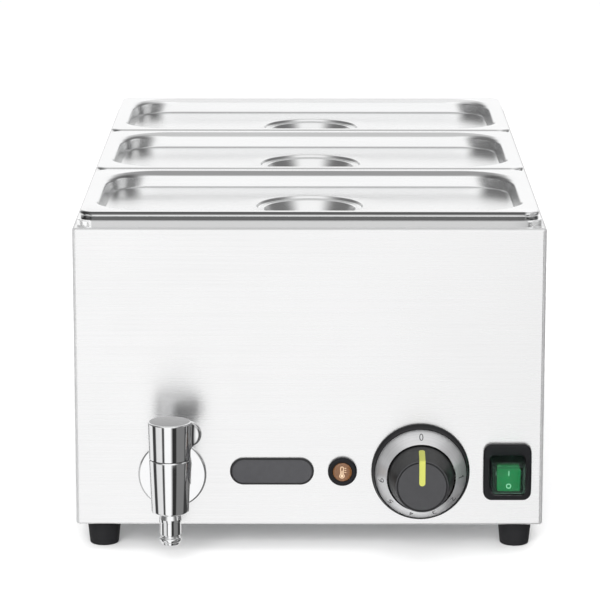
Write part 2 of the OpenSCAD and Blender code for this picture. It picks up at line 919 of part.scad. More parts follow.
module tap_rosette() {
    bevel = 2;
    r = rosette_d / 2;
    bore = shank_d / 2 + fixed_fit;
    color(chrome)
        on_panel(tap_x, tap_z)
            rotate_extrude()
                polygon([[bore, 0], [r, 0], [r, rosette_t - bevel], [r - bevel, rosette_t],
                    [bore, rosette_t]]);
}

module tap_body() {
    chamfer = 1;
    low_r = tap_bottom_d / 2;
    color(chrome)
        inside(tap_x, -tap_reach, 0)
            difference() {
                union() {
                    rotate_extrude()
                        polygon([[0, tap_bottom_z], [low_r - chamfer, tap_bottom_z],
                            [low_r, tap_bottom_z + chamfer], [tap_d / 2, tap_top_z], [0, tap_top_z]]);
                    translate([0, 0, tap_z])
                        rotate([-90, 0, 0])
                            cylinder(h = tap_reach + shank_in, d = shank_d);
                }
                translate([0, 0, tap_bottom_z - 1])
                    cylinder(h = tap_body_h, d = port_d);
                translate([0, 0, tap_bottom_z - 1])
                    cylinder(h = socket_h + 1, d = spout_neck_d + 2 * fixed_fit);
                translate([0, 0, plug_z])
                    cylinder(h = tap_body_h, d = plug_d + 2 * turning_fit);
                translate([0, 0, bonnet_z])
                    cylinder(h = tap_body_h, d = bonnet_d + 2 * fixed_fit);
                translate([0, 0, tap_z])
                    rotate([-90, 0, 0])
                        cylinder(h = 2 * tap_reach, d = port_d);
            }
}

module tap_bonnet() {
    color("#b08d57")
        inside(tap_x, -tap_reach, bonnet_z)
            ring(bonnet_h, bonnet_d, stem_d + 2 * turning_fit);
}

module tap_plug() {
    plug_h = bonnet_z - plug_z - 2 * stem_play;
    color("#b08d57")
        inside(tap_x, -tap_reach, 0)
            difference() {
                union() {
                    translate([0, 0, plug_z + stem_play])
                        cylinder(h = plug_h, d = plug_d);
                    translate([0, 0, plug_z + stem_play])
                        cylinder(h = handle_z - plug_z - stem_play, d = stem_d);
                    translate([-drive_w / 2, -drive_w / 2, tap_top_z])
                        cube([drive_w, drive_w, drive_h]);
                }
                translate([0, 0, plug_z - 1])
                    cylinder(h = tap_z - plug_z + 1, d = port_d);
                translate([0, 0, tap_z])
                    rotate([0, -90, 0])
                        cylinder(h = plug_d, d = port_d);
            }
}

// Plan of the wing: a plate that tapers from the tap axis to a round tip
module wing_plan() {
    tip = wing_reach - wing_tip_r;
    lean = acos((wing_root_r - wing_tip_r) / tip);
    side = [cos(lean), sin(lean)];
    low_side = [side.x, -side.y];
    translate([tip, 0])
        circle(wing_tip_r);
    polygon([[0, 0], wing_root_r * low_side, [tip, 0] + wing_tip_r * low_side,
        [tip, 0] + wing_tip_r * side, wing_root_r * side]);
}

// Side view of the wing: a rounded tip that sweeps back into the body
module wing_side() {
    r = tap_d / 2;
    nose_r = 9;
    root_in = 5.8;
    root_h = 4.2;
    polygon(concat(
        [[0, handle_h]],
        arc([wing_reach - nose_r, handle_h - nose_r], nose_r, 90, -52, 12),
        [[r - root_in, root_h], [0, root_h]]));
}

module tap_handle() {
    color(chrome)
        inside(tap_x, -tap_reach, handle_z)
            difference() {
                union() {
                    cylinder(h = handle_h, d1 = tap_d, d2 = tap_top_d);
                    intersection() {
                        linear_extrude(handle_h)
                            wing_plan();
                        rotate([90, 0, 0])
                            linear_extrude(2 * tap_d, center = true)
                                wing_side();
                    }
                }
                translate([-drive_w / 2 - fixed_fit, -drive_w / 2 - fixed_fit, -1])
                    cube([drive_w + 2 * fixed_fit, drive_w + 2 * fixed_fit, drive_h + 2]);
            }
}

module tap_nozzle() {
    bore = spout_bore / 2;
    neck_r = spout_neck_d / 2;
    r = spout_d / 2;
    pipe_r = spout_pipe_d / 2;
    groove_r = spout_groove_d / 2;
    end_z = tap_bottom_z - spout_l;
    top_z = tap_bottom_z + socket_h - stem_play;
    // Heights of the neck, the collar and its step below the body
    neck_z = tap_bottom_z - 1.5;
    collar_z = tap_bottom_z - 4.5;
    step_z = tap_bottom_z - 6.8;
    step_h = 0.4;
    // Heights of the groove and the bead above the end
    groove_z = end_z + 5.8;
    groove_l = 0.6;
    shoulder_l = 1;
    bead_z = end_z + 3.4;
    bead_in = 0.5;
    bead_r = 2;
    color(chrome)
        inside(tap_x, -tap_reach, 0)
            rotate_extrude()
                polygon(concat(
                    [[bore, top_z], [neck_r, top_z], [neck_r, neck_z], [r, collar_z], [r, step_z],
                        [pipe_r, step_z - step_h], [pipe_r, groove_z + groove_l + shoulder_l],
                        [groove_r, groove_z + groove_l], [groove_r, groove_z]],
                    arc([groove_r - bead_in, bead_z], bead_r, 60, -60, 5),
                    [[groove_r, end_z], [bore, end_z]]));
}

module tap_gasket() {
    color(black)
        on_panel(tap_x, tap_z)
            translate([0, 0, -sheet_t - gasket_t])
                ring(gasket_t, shank_d + 8, shank_d + 2 * fixed_fit);
}

module tap_locknut() {
    color("#b08d57")
        on_panel(tap_x, tap_z)
            translate([0, 0, -sheet_t - gasket_t - locknut_t])
                hex_nut(locknut_t, locknut_hex, shank_d + 2 * fixed_fit);
}

module drain_spigot() {
    color(steel)
        inside(tap_x, drain_d, 0)
            difference() {
                union() {
                    translate([0, 0, tap_z + hose_bend_r])
                        cylinder(h = tank_floor_z - tap_z - hose_bend_r, d = shank_d);
                    translate([0, 0, tank_under_z - collar_t])
                        cylinder(h = collar_t, d = shank_d + 3 * hose_t);
                }
                translate([0, 0, tap_z])
                    cylinder(h = tank_floor_z, d = port_d + 4);
            }
}

// Hose from the tap shank to the tank drain, drawn in its own plane
module drain_hose() {
    bore = shank_d + 2 * fixed_fit;
    outer = bore + 2 * hose_t;
    start = sheet_t + gasket_t + locknut_t + 1;
    top_z = tank_under_z - collar_t - sheet_gap;
    color("#c9c4ba")
        difference() {
            inside(tap_x, 0, 0) {
                translate([0, start, tap_z])
                    rotate([-90, 0, 0])
                        cylinder(h = drain_d - hose_bend_r - start, d = outer);
                translate([0, drain_d - hose_bend_r, tap_z + hose_bend_r])
                    rotate([0, 90, 0])
                        rotate_extrude(angle = 90)
                            translate([hose_bend_r, 0])
                                circle(d = outer);
                translate([0, drain_d, tap_z + hose_bend_r])
                    cylinder(h = top_z - tap_z - hose_bend_r, d = outer);
            }
            inside(tap_x, 0, 0) {
                translate([0, 0, tap_z])
                    rotate([-90, 0, 0])
                        cylinder(h = drain_d - hose_bend_r, d = bore);
                translate([0, drain_d - hose_bend_r, tap_z + hose_bend_r])
                    rotate([0, 90, 0])
                        rotate_extrude(angle = 90)
                            translate([hose_bend_r, 0])
                                circle(d = bore);
                translate([0, drain_d, tap_z + hose_bend_r])
                    cylinder(h = tank_floor_z, d = bore);
            }
        }
}

module hose_clips() {
    outer = shank_d + 2 * fixed_fit + 2 * hose_t;
    clip_w = 5;
    start = sheet_t + gasket_t + locknut_t + 3;
    color(chrome) {
        inside(tap_x, start, tap_z)
            rotate([-90, 0, 0])
                ring(clip_w, outer + 2, outer + 2 * fixed_fit);
        inside(tap_x, drain_d, tap_z + hose_bend_r + 1)
            ring(clip_w, outer + 2, outer + 2 * fixed_fit);
    }
}

// Badge and lamp

module badge() {
    rim_w = 1.2;
    rim_h = 0.4;
    color("#2c2c2e")
        on_panel(badge_x, control_z)
            rotate(90)
                difference() {
                    linear_extrude(badge_t)
                        slot(badge_h, badge_l);
                    translate([0, 0, badge_t - rim_h])
                        linear_extrude(2 * rim_h)
                            slot(badge_h - 2 * rim_w, badge_l - 2 * rim_w);
                }
}

module lamp_bezel() {
    r = lamp_d / 2;
    edge_r = 1.4;
    dish = 0.8;
    bore = lens_d / 2 + fixed_fit;
    color(black)
        on_panel(lamp_x, control_z)
            rotate_extrude()
                polygon(concat(
                    [[bore, 0], [r, 0]],
                    arc([r - edge_r, lamp_h - edge_r], edge_r, 0, 90, 4),
                    [[bore, lamp_h - dish]]));
}

module lamp_lens() {
    r = lens_d / 2;
    crown = 0.8;
    color("#8a4a12")
        on_panel(lamp_x, control_z)
            rotate_extrude()
                polygon([[0, lens_foot], [r, lens_foot], [r, lamp_h - crown / 2], [r - crown, lamp_h],
                    [0, lamp_h + crown / 2]]);
}

module lamp_body() {
    color("#e8e6df")
        on_panel(lamp_x, control_z)
            translate([0, 0, -lamp_body_l])
                cylinder(h = lamp_body_l + lens_foot, d = lamp_body_d);
}

module lamp_nut() {
    color(black)
        on_panel(lamp_x, control_z)
            translate([0, 0, -sheet_t - nut_t])
                hex_nut(nut_t, lamp_nut_hex, lamp_body_d + 2 * fixed_fit);
}

// Dial, knob and thermostat

module dial_bezel() {
    r = dial_d / 2;
    ring_r = ring_d / 2;
    top_r = ring_top_d / 2;
    skirt_h = 2;
    rim_w = 0.8;
    rim_h = 0.6;
    color(black)
        on_panel(dial_x, control_z)
            rotate_extrude()
                polygon([[r - dial_t, 0], [r, 0], [r, skirt_h], [ring_r + rim_w, ring_h0 + rim_h],
                    [ring_r, ring_h0 + rim_h], [ring_r, ring_h0], [top_r, ring_h1 - ring_t],
                    [top_r, ring_h1 - ring_t - dial_t], [ring_r - dial_t, ring_h0 - dial_t / 2]]);
}

module dial_ring() {
    ring_r = ring_d / 2 - fixed_fit;
    top_r = ring_top_d / 2;
    slope = (ring_h1 - ring_t - ring_h0) / (ring_d / 2 - top_r);
    lift = slope * fixed_fit;
    color("#c2c3c4")
        on_panel(dial_x, control_z)
            rotate_extrude()
                polygon([[ring_r, ring_h0 + lift], [ring_r, ring_h0 + lift + ring_t],
                    [top_r, ring_h1], [top_r, ring_h1 - ring_t]]);
}

// Radius of the knob side at a height
function knob_side_r(h) =
    knob_d / 2 + (knob_face_d - knob_d) / 2 * (h - knob_foot) / (knob_h - knob_edge_r - knob_foot);

// Outline of the knob from its axis outwards
module knob_outline() {
    face_r = knob_face_d / 2;
    polygon(concat(
        [[0, knob_foot], [knob_d / 2, knob_foot]],
        arc([face_r - knob_edge_r, knob_h - knob_edge_r], knob_edge_r, 0, 90, 4),
        [[0, knob_h]]));
}

// Inlay that runs from the middle of the face over the edge and down the side
module pointer_shape(play) {
    low = (knob_h + knob_foot) / 2 - play;
    depth = pointer_t + play;
    proud = 0.3;
    face = knob_face_d / 2;
    start = -pointer_w / 2 - play;
    rotate([90, 0, 90])
        linear_extrude(pointer_w + 2 * play, center = true)
            polygon(concat(
                [[start, knob_h + proud], [start, knob_h - depth], [face - depth, knob_h - depth],
                    [knob_side_r(low) - depth, low], [knob_side_r(low) + proud, low]],
                arc([face - knob_edge_r, knob_h - knob_edge_r], knob_edge_r + proud, 0, 90, 4)));
}

module knob() {
    color(graphite)
        on_panel(dial_x, control_z)
            difference() {
                rotate_extrude()
                    knob_outline();
                translate([0, 0, knob_foot - 1])
                    cylinder(h = knob_bore_h - knob_foot + 1 + fixed_fit, d = spindle_d + 2 * fixed_fit);
                pointer_shape(fixed_fit);
            }
}

module knob_pointer() {
    color("#d5e04a")
        on_panel(dial_x, control_z)
            pointer_shape(0);
}

module thermostat_spindle() {
    color(chrome)
        on_panel(dial_x, control_z)
            translate([0, 0, -spindle_in])
                cylinder(h = spindle_in + knob_bore_h, d = spindle_d);
}

// Four flat connector tabs behind a component
module tabs(offset, d) {
    for (sx = [-1, 1], sy = [-1, 1])
        translate([sx * offset - tab.x / 2, sy * offset - tab.y / 2, -d - tab.z])
            cube(tab);
}

module thermostat_body() {
    back = sheet_t + thermostat_d;
    color("#cfc8b4")
        on_panel(dial_x, control_z) {
            difference() {
                translate([-thermostat_w / 2, -thermostat_w / 2, -back])
                    cube([thermostat_w, thermostat_w, thermostat_d]);
                translate([0, 0, -spindle_in - stem_play])
                    cylinder(h = back, d = spindle_d + 2 * turning_fit);
                for (s = [-1, 1])
                    translate([s * thermostat_pitch / 2, 0, -screw_l - 1])
                        cylinder(h = screw_l + 1, d = screw_d + 2 * fixed_fit);
            }
            tabs(thermostat_tab, back);
        }
}

module thermostat_screws() {
    color(chrome)
        on_panel(dial_x, control_z)
            for (s = [-1, 1])
                translate([s * thermostat_pitch / 2, 0, 0])
                    screw(screw_d, screw_l, screw_head_d, screw_head_h);
}

// Temperature bulb under the tank floor with its capillary tube
module sensor_bulb() {
    bulb_z = tank_under_z - bulb_d / 2 - tube_gap;
    bulb_x = dial_x - bulb_side;
    exit_z = control_z + thermostat_w / 4;
    exit_d = sheet_t + thermostat_d;
    color("#b87333")
        inside(0, 0, 0) {
            translate([bulb_x - bulb_l, bulb_back, bulb_z])
                rotate([0, 90, 0])
                    cylinder(h = bulb_l, d = bulb_d);
            tube_path([[dial_x, exit_d, exit_z], [dial_x, exit_d + capillary_run, exit_z],
                [dial_x, bulb_back - capillary_turn, bulb_z],
                [dial_x - capillary_turn, bulb_back, bulb_z],
                [bulb_x - capillary_d, bulb_back, bulb_z]], capillary_d, heading = 45);
        }
}

// Switch

module switch_frame() {
    bevel = 1;
    color(black)
        on_panel(switch_x, control_z)
            difference() {
                union() {
                    linear_extrude(frame_t - bevel)
                        round_rect(frame_w, frame_h, frame_r);
                    linear_extrude(frame_t)
                        round_rect(frame_w - 2 * bevel, frame_h - 2 * bevel, frame_r - bevel);
                }
                translate([0, 0, -1])
                    linear_extrude(switch_face + sheet_gap + 1)
                        square([switch_w + 4 * fixed_fit, switch_h + 4 * fixed_fit], center = true);
                translate([0, 0, -1])
                    linear_extrude(2 * frame_t)
                        round_rect(cap_w + 2 * fixed_fit, cap_h + 2 * fixed_fit, cap_r);
            }
}

// Clear cap over the rocker, hollow from behind
module switch_cap() {
    cap_base = switch_face + sheet_gap;
    color([0.8, 0.95, 0.88, 0.4])
        on_panel(switch_x, control_z)
            difference() {
                translate([0, 0, cap_base])
                    linear_extrude(cap_reach - cap_base)
                        round_rect(cap_w, cap_h, cap_r);
                linear_extrude(cap_reach - cap_t)
                    round_rect(cap_w - 2 * cap_t, cap_h - 2 * cap_t, cap_r - cap_t);
            }
}

module switch_body() {
    ear_x = rocker_w / 2 + ear_gap;
    ear_h = pivot_reach + pin_d - switch_face;
    ear_w = 2.4 * pin_d;
    color("#242425")
        on_panel(switch_x, control_z) {
            translate([-switch_w / 2, -switch_h / 2, -switch_d])
                cube([switch_w, switch_h, switch_d + switch_face]);
            for (s = [-1, 1])
                translate([s * (ear_x + ear_t / 2), 0, 0])
                    difference() {
                        translate([0, 0, switch_face + ear_h / 2])
                            cube([ear_t, ear_w, ear_h], center = true);
                        translate([0, 0, pivot_reach])
                            rotate([0, 90, 0])
                                cylinder(h = 2 * ear_t, d = pin_d + 2 * turning_fit, center = true);
                    }
            tabs(switch_tab, switch_d);
        }
}

module rocker() {
    hub_wall = 1.4;
    hub_r = pin_d / 2 + hub_wall;
    color("#159a52")
        on_panel(switch_x, control_z)
            translate([0, 0, pivot_reach])
                rotate([rocker_lean, 0, 0])
                    difference() {
                        union() {
                            translate([-rocker_w / 2, -rocker_h / 2, hub_r])
                                cube([rocker_w, rocker_h, rocker_reach - pivot_reach - hub_r]);
                            rotate([0, 90, 0])
                                cylinder(h = rocker_w, r = hub_r, center = true);
                            translate([-rocker_w / 2, -hub_r, 0])
                                cube([rocker_w, 2 * hub_r, 2 * hub_r]);
                        }
                        rotate([0, 90, 0])
                            cylinder(h = 2 * rocker_w, d = pin_d + 2 * turning_fit, center = true);
                    }
}

module rocker_pin() {
    color(chrome)
        on_panel(switch_x, control_z)
            translate([0, 0, pivot_reach])
                rotate([0, 90, 0])
                    cylinder(h = rocker_w + 2 * (ear_gap + ear_t - sheet_gap), d = pin_d, center = true);
}

// Heating under the tank

// Straight heating tube run along y from z = 0 at the front
module tube_straight(x, start, l) {
    inside(x, start, tube_z)
        rotate([-90, 0, 0])
            cylinder(h = l, d = tube_d);
}

// Half turn between two runs; side is 1 for the back, -1 for the front
module tube_turn(x, d, side) {
    inside(x, d, tube_z)
        rotate(side > 0 ? 0 : 180)
            rotate_extrude(angle = 180)
                translate([tube_pitch / 2, 0])
                    circle(d = tube_d);
}

module heating_element() {
    outer = 1.5 * tube_pitch;
    inner = 0.5 * tube_pitch;
    color("#6d6a66") {
        for (x = [-outer, outer]) {
            tube_straight(x, tube_front - cold_end, tube_run + cold_end);
            inside(x, element_front, tube_z)
                rotate([-90, 0, 0])
                    cylinder(h = cold_pin + 1, d = tube_d / 2);
        }
        for (x = [-inner, inner])
            tube_straight(x, tube_front, tube_run);
        for (x = [-tube_pitch, tube_pitch])
            tube_turn(x, tube_front + tube_run, 1);
        tube_turn(0, tube_front, -1);
    }
}

module element_clamps() {
    bar_l = 3 * tube_pitch + 3 * tube_d;
    color(steel)
        for (d = clamp_depths)
            difference() {
                inside(-bar_l / 2, d - clamp_w / 2, clamp_z - clamp_t)
                    cube([bar_l, clamp_w, clamp_t]);
                for (x = stud_places)
                    inside(x, d, clamp_z)
                        cylinder(h = 4 * clamp_t, d = stud_d + 4 * fixed_fit, center = true);
            }
}

module clamp_studs() {
    color(chrome)
        for (d = clamp_depths, x = stud_places)
            inside(x, d, clamp_z - 3 * stud_d / 2)
                cylinder(h = tank_under_z - clamp_z + 3 * stud_d / 2, d = stud_d);
}

module clamp_nuts() {
    nut_h = 0.8 * stud_d;
    color(chrome)
        for (d = clamp_depths, x = stud_places)
            inside(x, d, clamp_z - clamp_t - nut_h)
                hex_nut(nut_h, 1.6 * stud_d, stud_d + 2 * fixed_fit);
}

module thermal_cutout() {
    cup_h = 10;
    strap = [1.5 * cutout_d, cutout_d / 2, 1];
    pin_h = 3;
    reset_d = 4;
    color("#3d3a36")
        inside(0, cutout_back, tank_under_z)
            rotate([180, 0, 0]) {
                translate([-strap.x / 2, -strap.y / 2, 0])
                    cube(strap);
                cylinder(h = cup_h, d = cutout_d);
                cylinder(h = cup_h + pin_h, d = reset_d);
            }
}

// Supply

// Middle of a way through the terminal block
function way_x(i) = gland_x - block.x * (i + 0.5) / block_ways;

module terminal_block() {
    color("#e9e4d6")
        difference() {
            inside(gland_x - block.x, block_front, base_top_z)
                cube(block);
            for (i = [0:block_ways - 1])
                inside(way_x(i), block_front + block.y / 2, way_z) {
                    rotate([90, 0, 0])
                        cylinder(h = 2 * block.y, d = block_bore, center = true);
                    cylinder(h = block.z, d = block_bore);
                }
        }
}

module cable_gland() {
    hex_h = 6;
    tail = 12;
    dome_r = gland_hex / 2 - 1;
    dome_edge = 3;
    color(black)
        on_rear(gland_x, gland_z)
            difference() {
                union() {
                    translate([0, 0, -sheet_t - tail])
                        cylinder(h = tail + sheet_t + 1, d = gland_d);
                    linear_extrude(hex_h)
                        circle(d = gland_hex / cos(30), $fn = 6);
                    rotate_extrude()
                        polygon([[0, 0], [dome_r, 0], [dome_r, gland_reach - dome_edge],
                            [dome_r - dome_edge, gland_reach], [0, gland_reach]]);
                }
                translate([0, 0, -sheet_t - tail - 1])
                    cylinder(h = tail + sheet_t + gland_reach + 2, d = cord_d);
            }
}

module gland_nut() {
    color(black)
        on_rear(gland_x, gland_z)
            translate([0, 0, -sheet_t - nut_t])
                hex_nut(nut_t, gland_hex, gland_d + 2 * fixed_fit);
}

// Leads: from the terminal block to the switch, then to the thermostat, the lamp and the element
module live_leads() {
    low = control_z - switch_tab;
    high = control_z + switch_tab;
    cold_z = control_z - thermostat_tab;
    hot_z = control_z + thermostat_tab;
    left = dial_x - thermostat_tab;
    right = dial_x + thermostat_tab;
    lead_x = lamp_x + lamp_pin;
    element_x = 1.5 * tube_pitch;
    color("#6b4226")
        inside(0, 0, 0) {
            tube_path([[way_x(0), block_front + lead_in, way_z], [way_x(0), bend_front + lead_rise, way_z],
                [switch_x - switch_tab, bend_front, low], [switch_x - switch_tab, switch_end, low]], lead_d);
            tube_path([[switch_x + switch_tab, switch_end, high],
                [switch_x + switch_tab, switch_end + lead_loop, high],
                [right, switch_end + lead_loop, hot_z], [right, thermostat_end, hot_z]], lead_d);
            tube_path([[lead_x, lamp_end, control_z], [lead_x, thermostat_end + lead_loop, control_z],
                [left, thermostat_end + lead_loop, hot_z], [left, thermostat_end, hot_z]], lead_d);
            tube_path([[left, thermostat_end, cold_z], [left, bend_front, cold_z],
                [element_x, element_front - lead_rise, tube_z],
                [element_x, element_front - lead_gap, tube_z]], lead_d);
        }
}

module neutral_leads() {
    beside = block_bore / 4;
    lead_x = lamp_x - lamp_pin;
    element_x = -1.5 * tube_pitch;
    floor_z = base_top_z + lead_floor;
    color("#2f5d9b")
        inside(0, 0, 0) {
            tube_path([[way_x(1) + beside, block_front + lead_in, way_z],
                [way_x(1) + beside, bend_back, way_z], [element_x, bend_middle, tube_z - lead_rise],
                [element_x, element_front - lead_loop, tube_z],
                [element_x, element_front - lead_gap, tube_z]], lead_d);
            tube_path([[lead_x, lamp_end, control_z], [lead_x, bend_front, floor_z],
                [lead_cross, bend_middle, floor_z], [way_x(1) - beside, bend_block, way_z],
                [way_x(1) - beside, block_front + lead_in, way_z]], lead_d);
        }
}

// Earth lead, crimped into a ring lug over the end of a base screw
module earth_lead() {
    lug_x = casing_w / 2 - base_lip_w / 2;
    lug_d = 3 * casing_d / 4;
    lug_t = 1;
    lug_r = screw_d + 0.6;
    crimp = [6, lead_d + 1, lead_d + 1];
    crimp_x = lug_x - lug_r - crimp.x + 1;
    lead_z = base_top_z + crimp.z / 2;
    color("#8fae3a")
        inside(0, 0, 0) {
            translate([lug_x, lug_d, base_top_z])
                ring(lug_t, 2 * lug_r, screw_d + 4 * fixed_fit);
            translate([crimp_x, lug_d - crimp.y / 2, base_top_z])
                cube(crimp);
            tube_path([[way_x(2), block_front + lead_in, way_z], [way_x(2), lug_d, way_z],
                [way_x(2), lug_d, lead_z], [crimp_x + crimp.x / 2, lug_d, lead_z]], lead_d);
        }
}

casing_wrap();
rear_panel();
rear_panel_screws();
base_plate();
base_screws();
tank();
foot_front_left();
foot_front_right();
foot_rear_left();
foot_rear_right();
foot_screws();
pan_front();
pan_middle();
pan_rear();
lid_front();
lid_middle();
lid_rear();
lid_handle_front();
lid_handle_middle();
lid_handle_rear();
tap_rosette();
tap_body();
tap_bonnet();
tap_plug();
tap_handle();
tap_nozzle();
tap_gasket();
tap_locknut();
drain_spigot();
drain_hose();
hose_clips();
badge();
lamp_bezel();
lamp_lens();
lamp_body();
lamp_nut();
dial_bezel();
dial_ring();
knob();
knob_pointer();
thermostat_spindle();
thermostat_body();
thermostat_screws();
sensor_bulb();
switch_frame();
switch_cap();
switch_body();
rocker();
rocker_pin();
heating_element();
element_clamps();
clamp_studs();
clamp_nuts();
thermal_cutout();
terminal_block();
cable_gland();
gland_nut();
live_leads();
neutral_leads();
earth_lead();
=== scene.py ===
"""Looks of a countertop bain marie with three lidded pans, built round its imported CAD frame."""

import json
import logging
import math
from collections.abc import Callable, Iterable
from dataclasses import dataclass, field
from enum import Enum

import bpy
import numpy as np
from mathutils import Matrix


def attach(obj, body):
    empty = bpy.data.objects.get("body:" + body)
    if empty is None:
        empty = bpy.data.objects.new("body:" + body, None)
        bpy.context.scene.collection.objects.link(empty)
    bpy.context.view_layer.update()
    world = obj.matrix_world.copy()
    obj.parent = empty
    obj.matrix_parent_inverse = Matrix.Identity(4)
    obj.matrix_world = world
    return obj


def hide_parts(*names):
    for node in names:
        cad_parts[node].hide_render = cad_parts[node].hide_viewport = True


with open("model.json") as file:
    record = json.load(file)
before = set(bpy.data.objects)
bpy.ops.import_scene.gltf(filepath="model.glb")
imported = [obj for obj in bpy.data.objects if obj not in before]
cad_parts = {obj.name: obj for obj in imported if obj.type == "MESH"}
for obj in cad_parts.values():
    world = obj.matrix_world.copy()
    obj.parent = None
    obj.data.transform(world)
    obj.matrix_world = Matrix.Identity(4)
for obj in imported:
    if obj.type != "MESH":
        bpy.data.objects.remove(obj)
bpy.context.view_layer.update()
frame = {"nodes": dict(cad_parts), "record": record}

Array = np.ndarray
Span = tuple[float, float]
Triple = tuple[float, float, float]
Socket = bpy.types.NodeSocket
Mapper = Callable[[Array], Array]

# Lengths are in mm, except in the studio.
MM = 0.001
FRONT_Y = -250.3
FIRST_PAN = 91.0
PAN_PITCH = 176.5
CONTROLS_Z = 58.6
DIAL_X = 78.4
SHARP_EDGE = math.radians(40.0)
log = logging.getLogger("bain_marie")


class Body(str, Enum):
    """Bodies of the frame that pieces ride on, apart from the pans and lids."""

    CASING = "casing"
    KNOB = "dial_knob"
    ROCKER = "power_rocker"
    TAP_LEVER = "tap_lever"


class Place(str, Enum):
    """The three pan positions, from the front panel to the back."""

    FRONT = "front"
    MIDDLE = "middle"
    REAR = "rear"

    @property
    def depth(self) -> float:
        """Depth of the pan's middle behind the front panel."""
        return FIRST_PAN + PAN_PITCH * list(Place).index(self)


class Grain(Enum):
    """Directions of a brushed finish, as scales of the object's coordinates."""

    LEVEL = (5.0, 5.0, 900.0)
    ALONG_X = (6.0, 500.0, 500.0)
    FINE = (260.0, 260.0, 260.0)
    COARSE = (60.0, 60.0, 60.0)
    CLOUD = (9.0, 9.0, 9.0)


# Shapes


def arc(centre: Span, radius: float, start: float, end: float, steps: int) -> Array:
    """Points centre + radius * (cos a, sin a), with a in even steps from start to end, in degrees."""
    a = np.radians(np.linspace(start, end, steps + 1))
    return np.array(centre) + radius * np.column_stack([np.cos(a), np.sin(a)])


def path(*parts: Array | Iterable[float]) -> Array:
    """Joins single points and runs of points into one outline."""
    return np.vstack([np.atleast_2d(np.asarray(p, float)) for p in parts])


def unit(vectors: Array) -> Array:
    """The same directions with length 1."""
    return vectors / np.linalg.norm(vectors, axis=1, keepdims=True)


def fade(value: Array, start: float, run: float) -> Array:
    """Share that rises from 0 at start to 1 at start + run."""
    return np.clip((value - start) / run, 0, 1)


def loops(offset: Array, *base: float) -> Array:
    """Rows of half width, half length, corner radius and height: base sizes plus offsets, and heights."""
    return np.column_stack([offset[:, 0] + b for b in base] + [offset[:, 1]])


def shrunk(row: Array, share: Array, height: Array | float) -> Array:
    """Rows of one loop with its three sizes multiplied by each share, at the height or heights given."""
    return np.column_stack([np.outer(share, row[:3]), np.broadcast_to(height, share.shape)])


def turned(profile: Array, steps: int = 96) -> Array:
    """Rings of a turned surface: points of (radius, height) carried round the z axis in equal steps."""
    a, r = np.linspace(0, 2 * math.pi, steps, endpoint=False), profile[:, :1]
    return np.stack([r * np.cos(a), r * np.sin(a), np.repeat(profile[:, 1:], steps, axis=1)], axis=-1)


def ribbon(line: Array, width: float, height: float, sunk: float) -> Array:
    """Rings of a flat strip: a rectangle of width and height carried along a line in the plane.

    Args:
        line: Points of the middle line.
        width: Width of the strip in the plane.
        height: Height above the plane.
        sunk: Depth of the strip's foot below the plane.

    Returns:
        Array of shape (points, 4, 3).
    """
    along = unit(np.gradient(line, axis=0))
    side = np.column_stack([-along[:, 1], along[:, 0]]) * width / 2
    left, right = line + side, line - side
    corners = [(left, -sunk), (right, -sunk), (right, height), (left, height)]
    return np.stack([np.column_stack([p, np.full(len(p), h)]) for p, h in corners], axis=1)


def on_panel(x: float, z: float) -> Mapper:
    """Mapping of local points (right, up, towards the viewer) to a place on the front panel."""
    return lambda p: np.stack([x + p[..., 0], FRONT_Y - p[..., 2], z + p[..., 1]], axis=-1)


def upright(x: float, depth: float, z: float) -> Mapper:
    """Mapping of local points, z up, to a place behind the front panel."""
    return lambda p: p + np.array([x, FRONT_Y + depth, z])


@dataclass(frozen=True)
class LoopGrid:
    """Numbering that rounded rectangles share, so that loops of any size join point to point.

    Args:
        corner: Steps in each round corner.
        long_side: Steps along each side in x.
        short_side: Steps along each side in y.
    """

    corner: int
    long_side: int
    short_side: int

    def template(self) -> tuple[Array, Array]:
        """Factors of the corner centre and unit offsets of every point in the loop.

        Returns:
            Two arrays of shape (points, 2).
        """
        signs = np.array([(1, 1), (-1, 1), (-1, -1), (1, -1)], float)
        sides = (self.long_side, self.short_side) * 2
        centres, units = [], []
        for k, steps in enumerate(sides):
            turn = arc((0, 0), 1.0, 90 * k, 90 * k + 90, self.corner)
            share = np.linspace(0, 1, steps + 1)[1:-1, None]
            straight = (1 - share) * signs[k] + share * signs[(k + 1) % 4]
            centres += [np.tile(signs[k], (len(turn), 1)), straight]
            units += [turn, np.tile(turn[-1], (len(straight), 1))]
        return np.vstack(centres), np.vstack(units)

    def rings(self, rows: Array) -> Array:
        """Rounded rectangles: the corner centre plus the corner radius times a unit turn.

        Args:
            rows: Half width, half length, corner radius and height of each loop.

        Returns:
            Array of shape (rows, points, 3).
        """
        centres, units = self.template()
        half, r, z = rows[:, None, :2], rows[:, None, 2:3], rows[:, None, 3:4]
        flat = centres * (half - r) + units * r
        return np.concatenate([flat, np.broadcast_to(z, flat.shape[:2] + (1,))], axis=-1)

    @staticmethod
    def round_rings(rows: Array, like: Array) -> Array:
        """Circles of (radius, height) rows, with points in the same directions as those of a loop."""
        flat = rows[:, None, :1] * unit(like[:, :2])
        return np.concatenate([flat, np.broadcast_to(rows[:, None, 1:], flat.shape[:2] + (1,))], axis=-1)


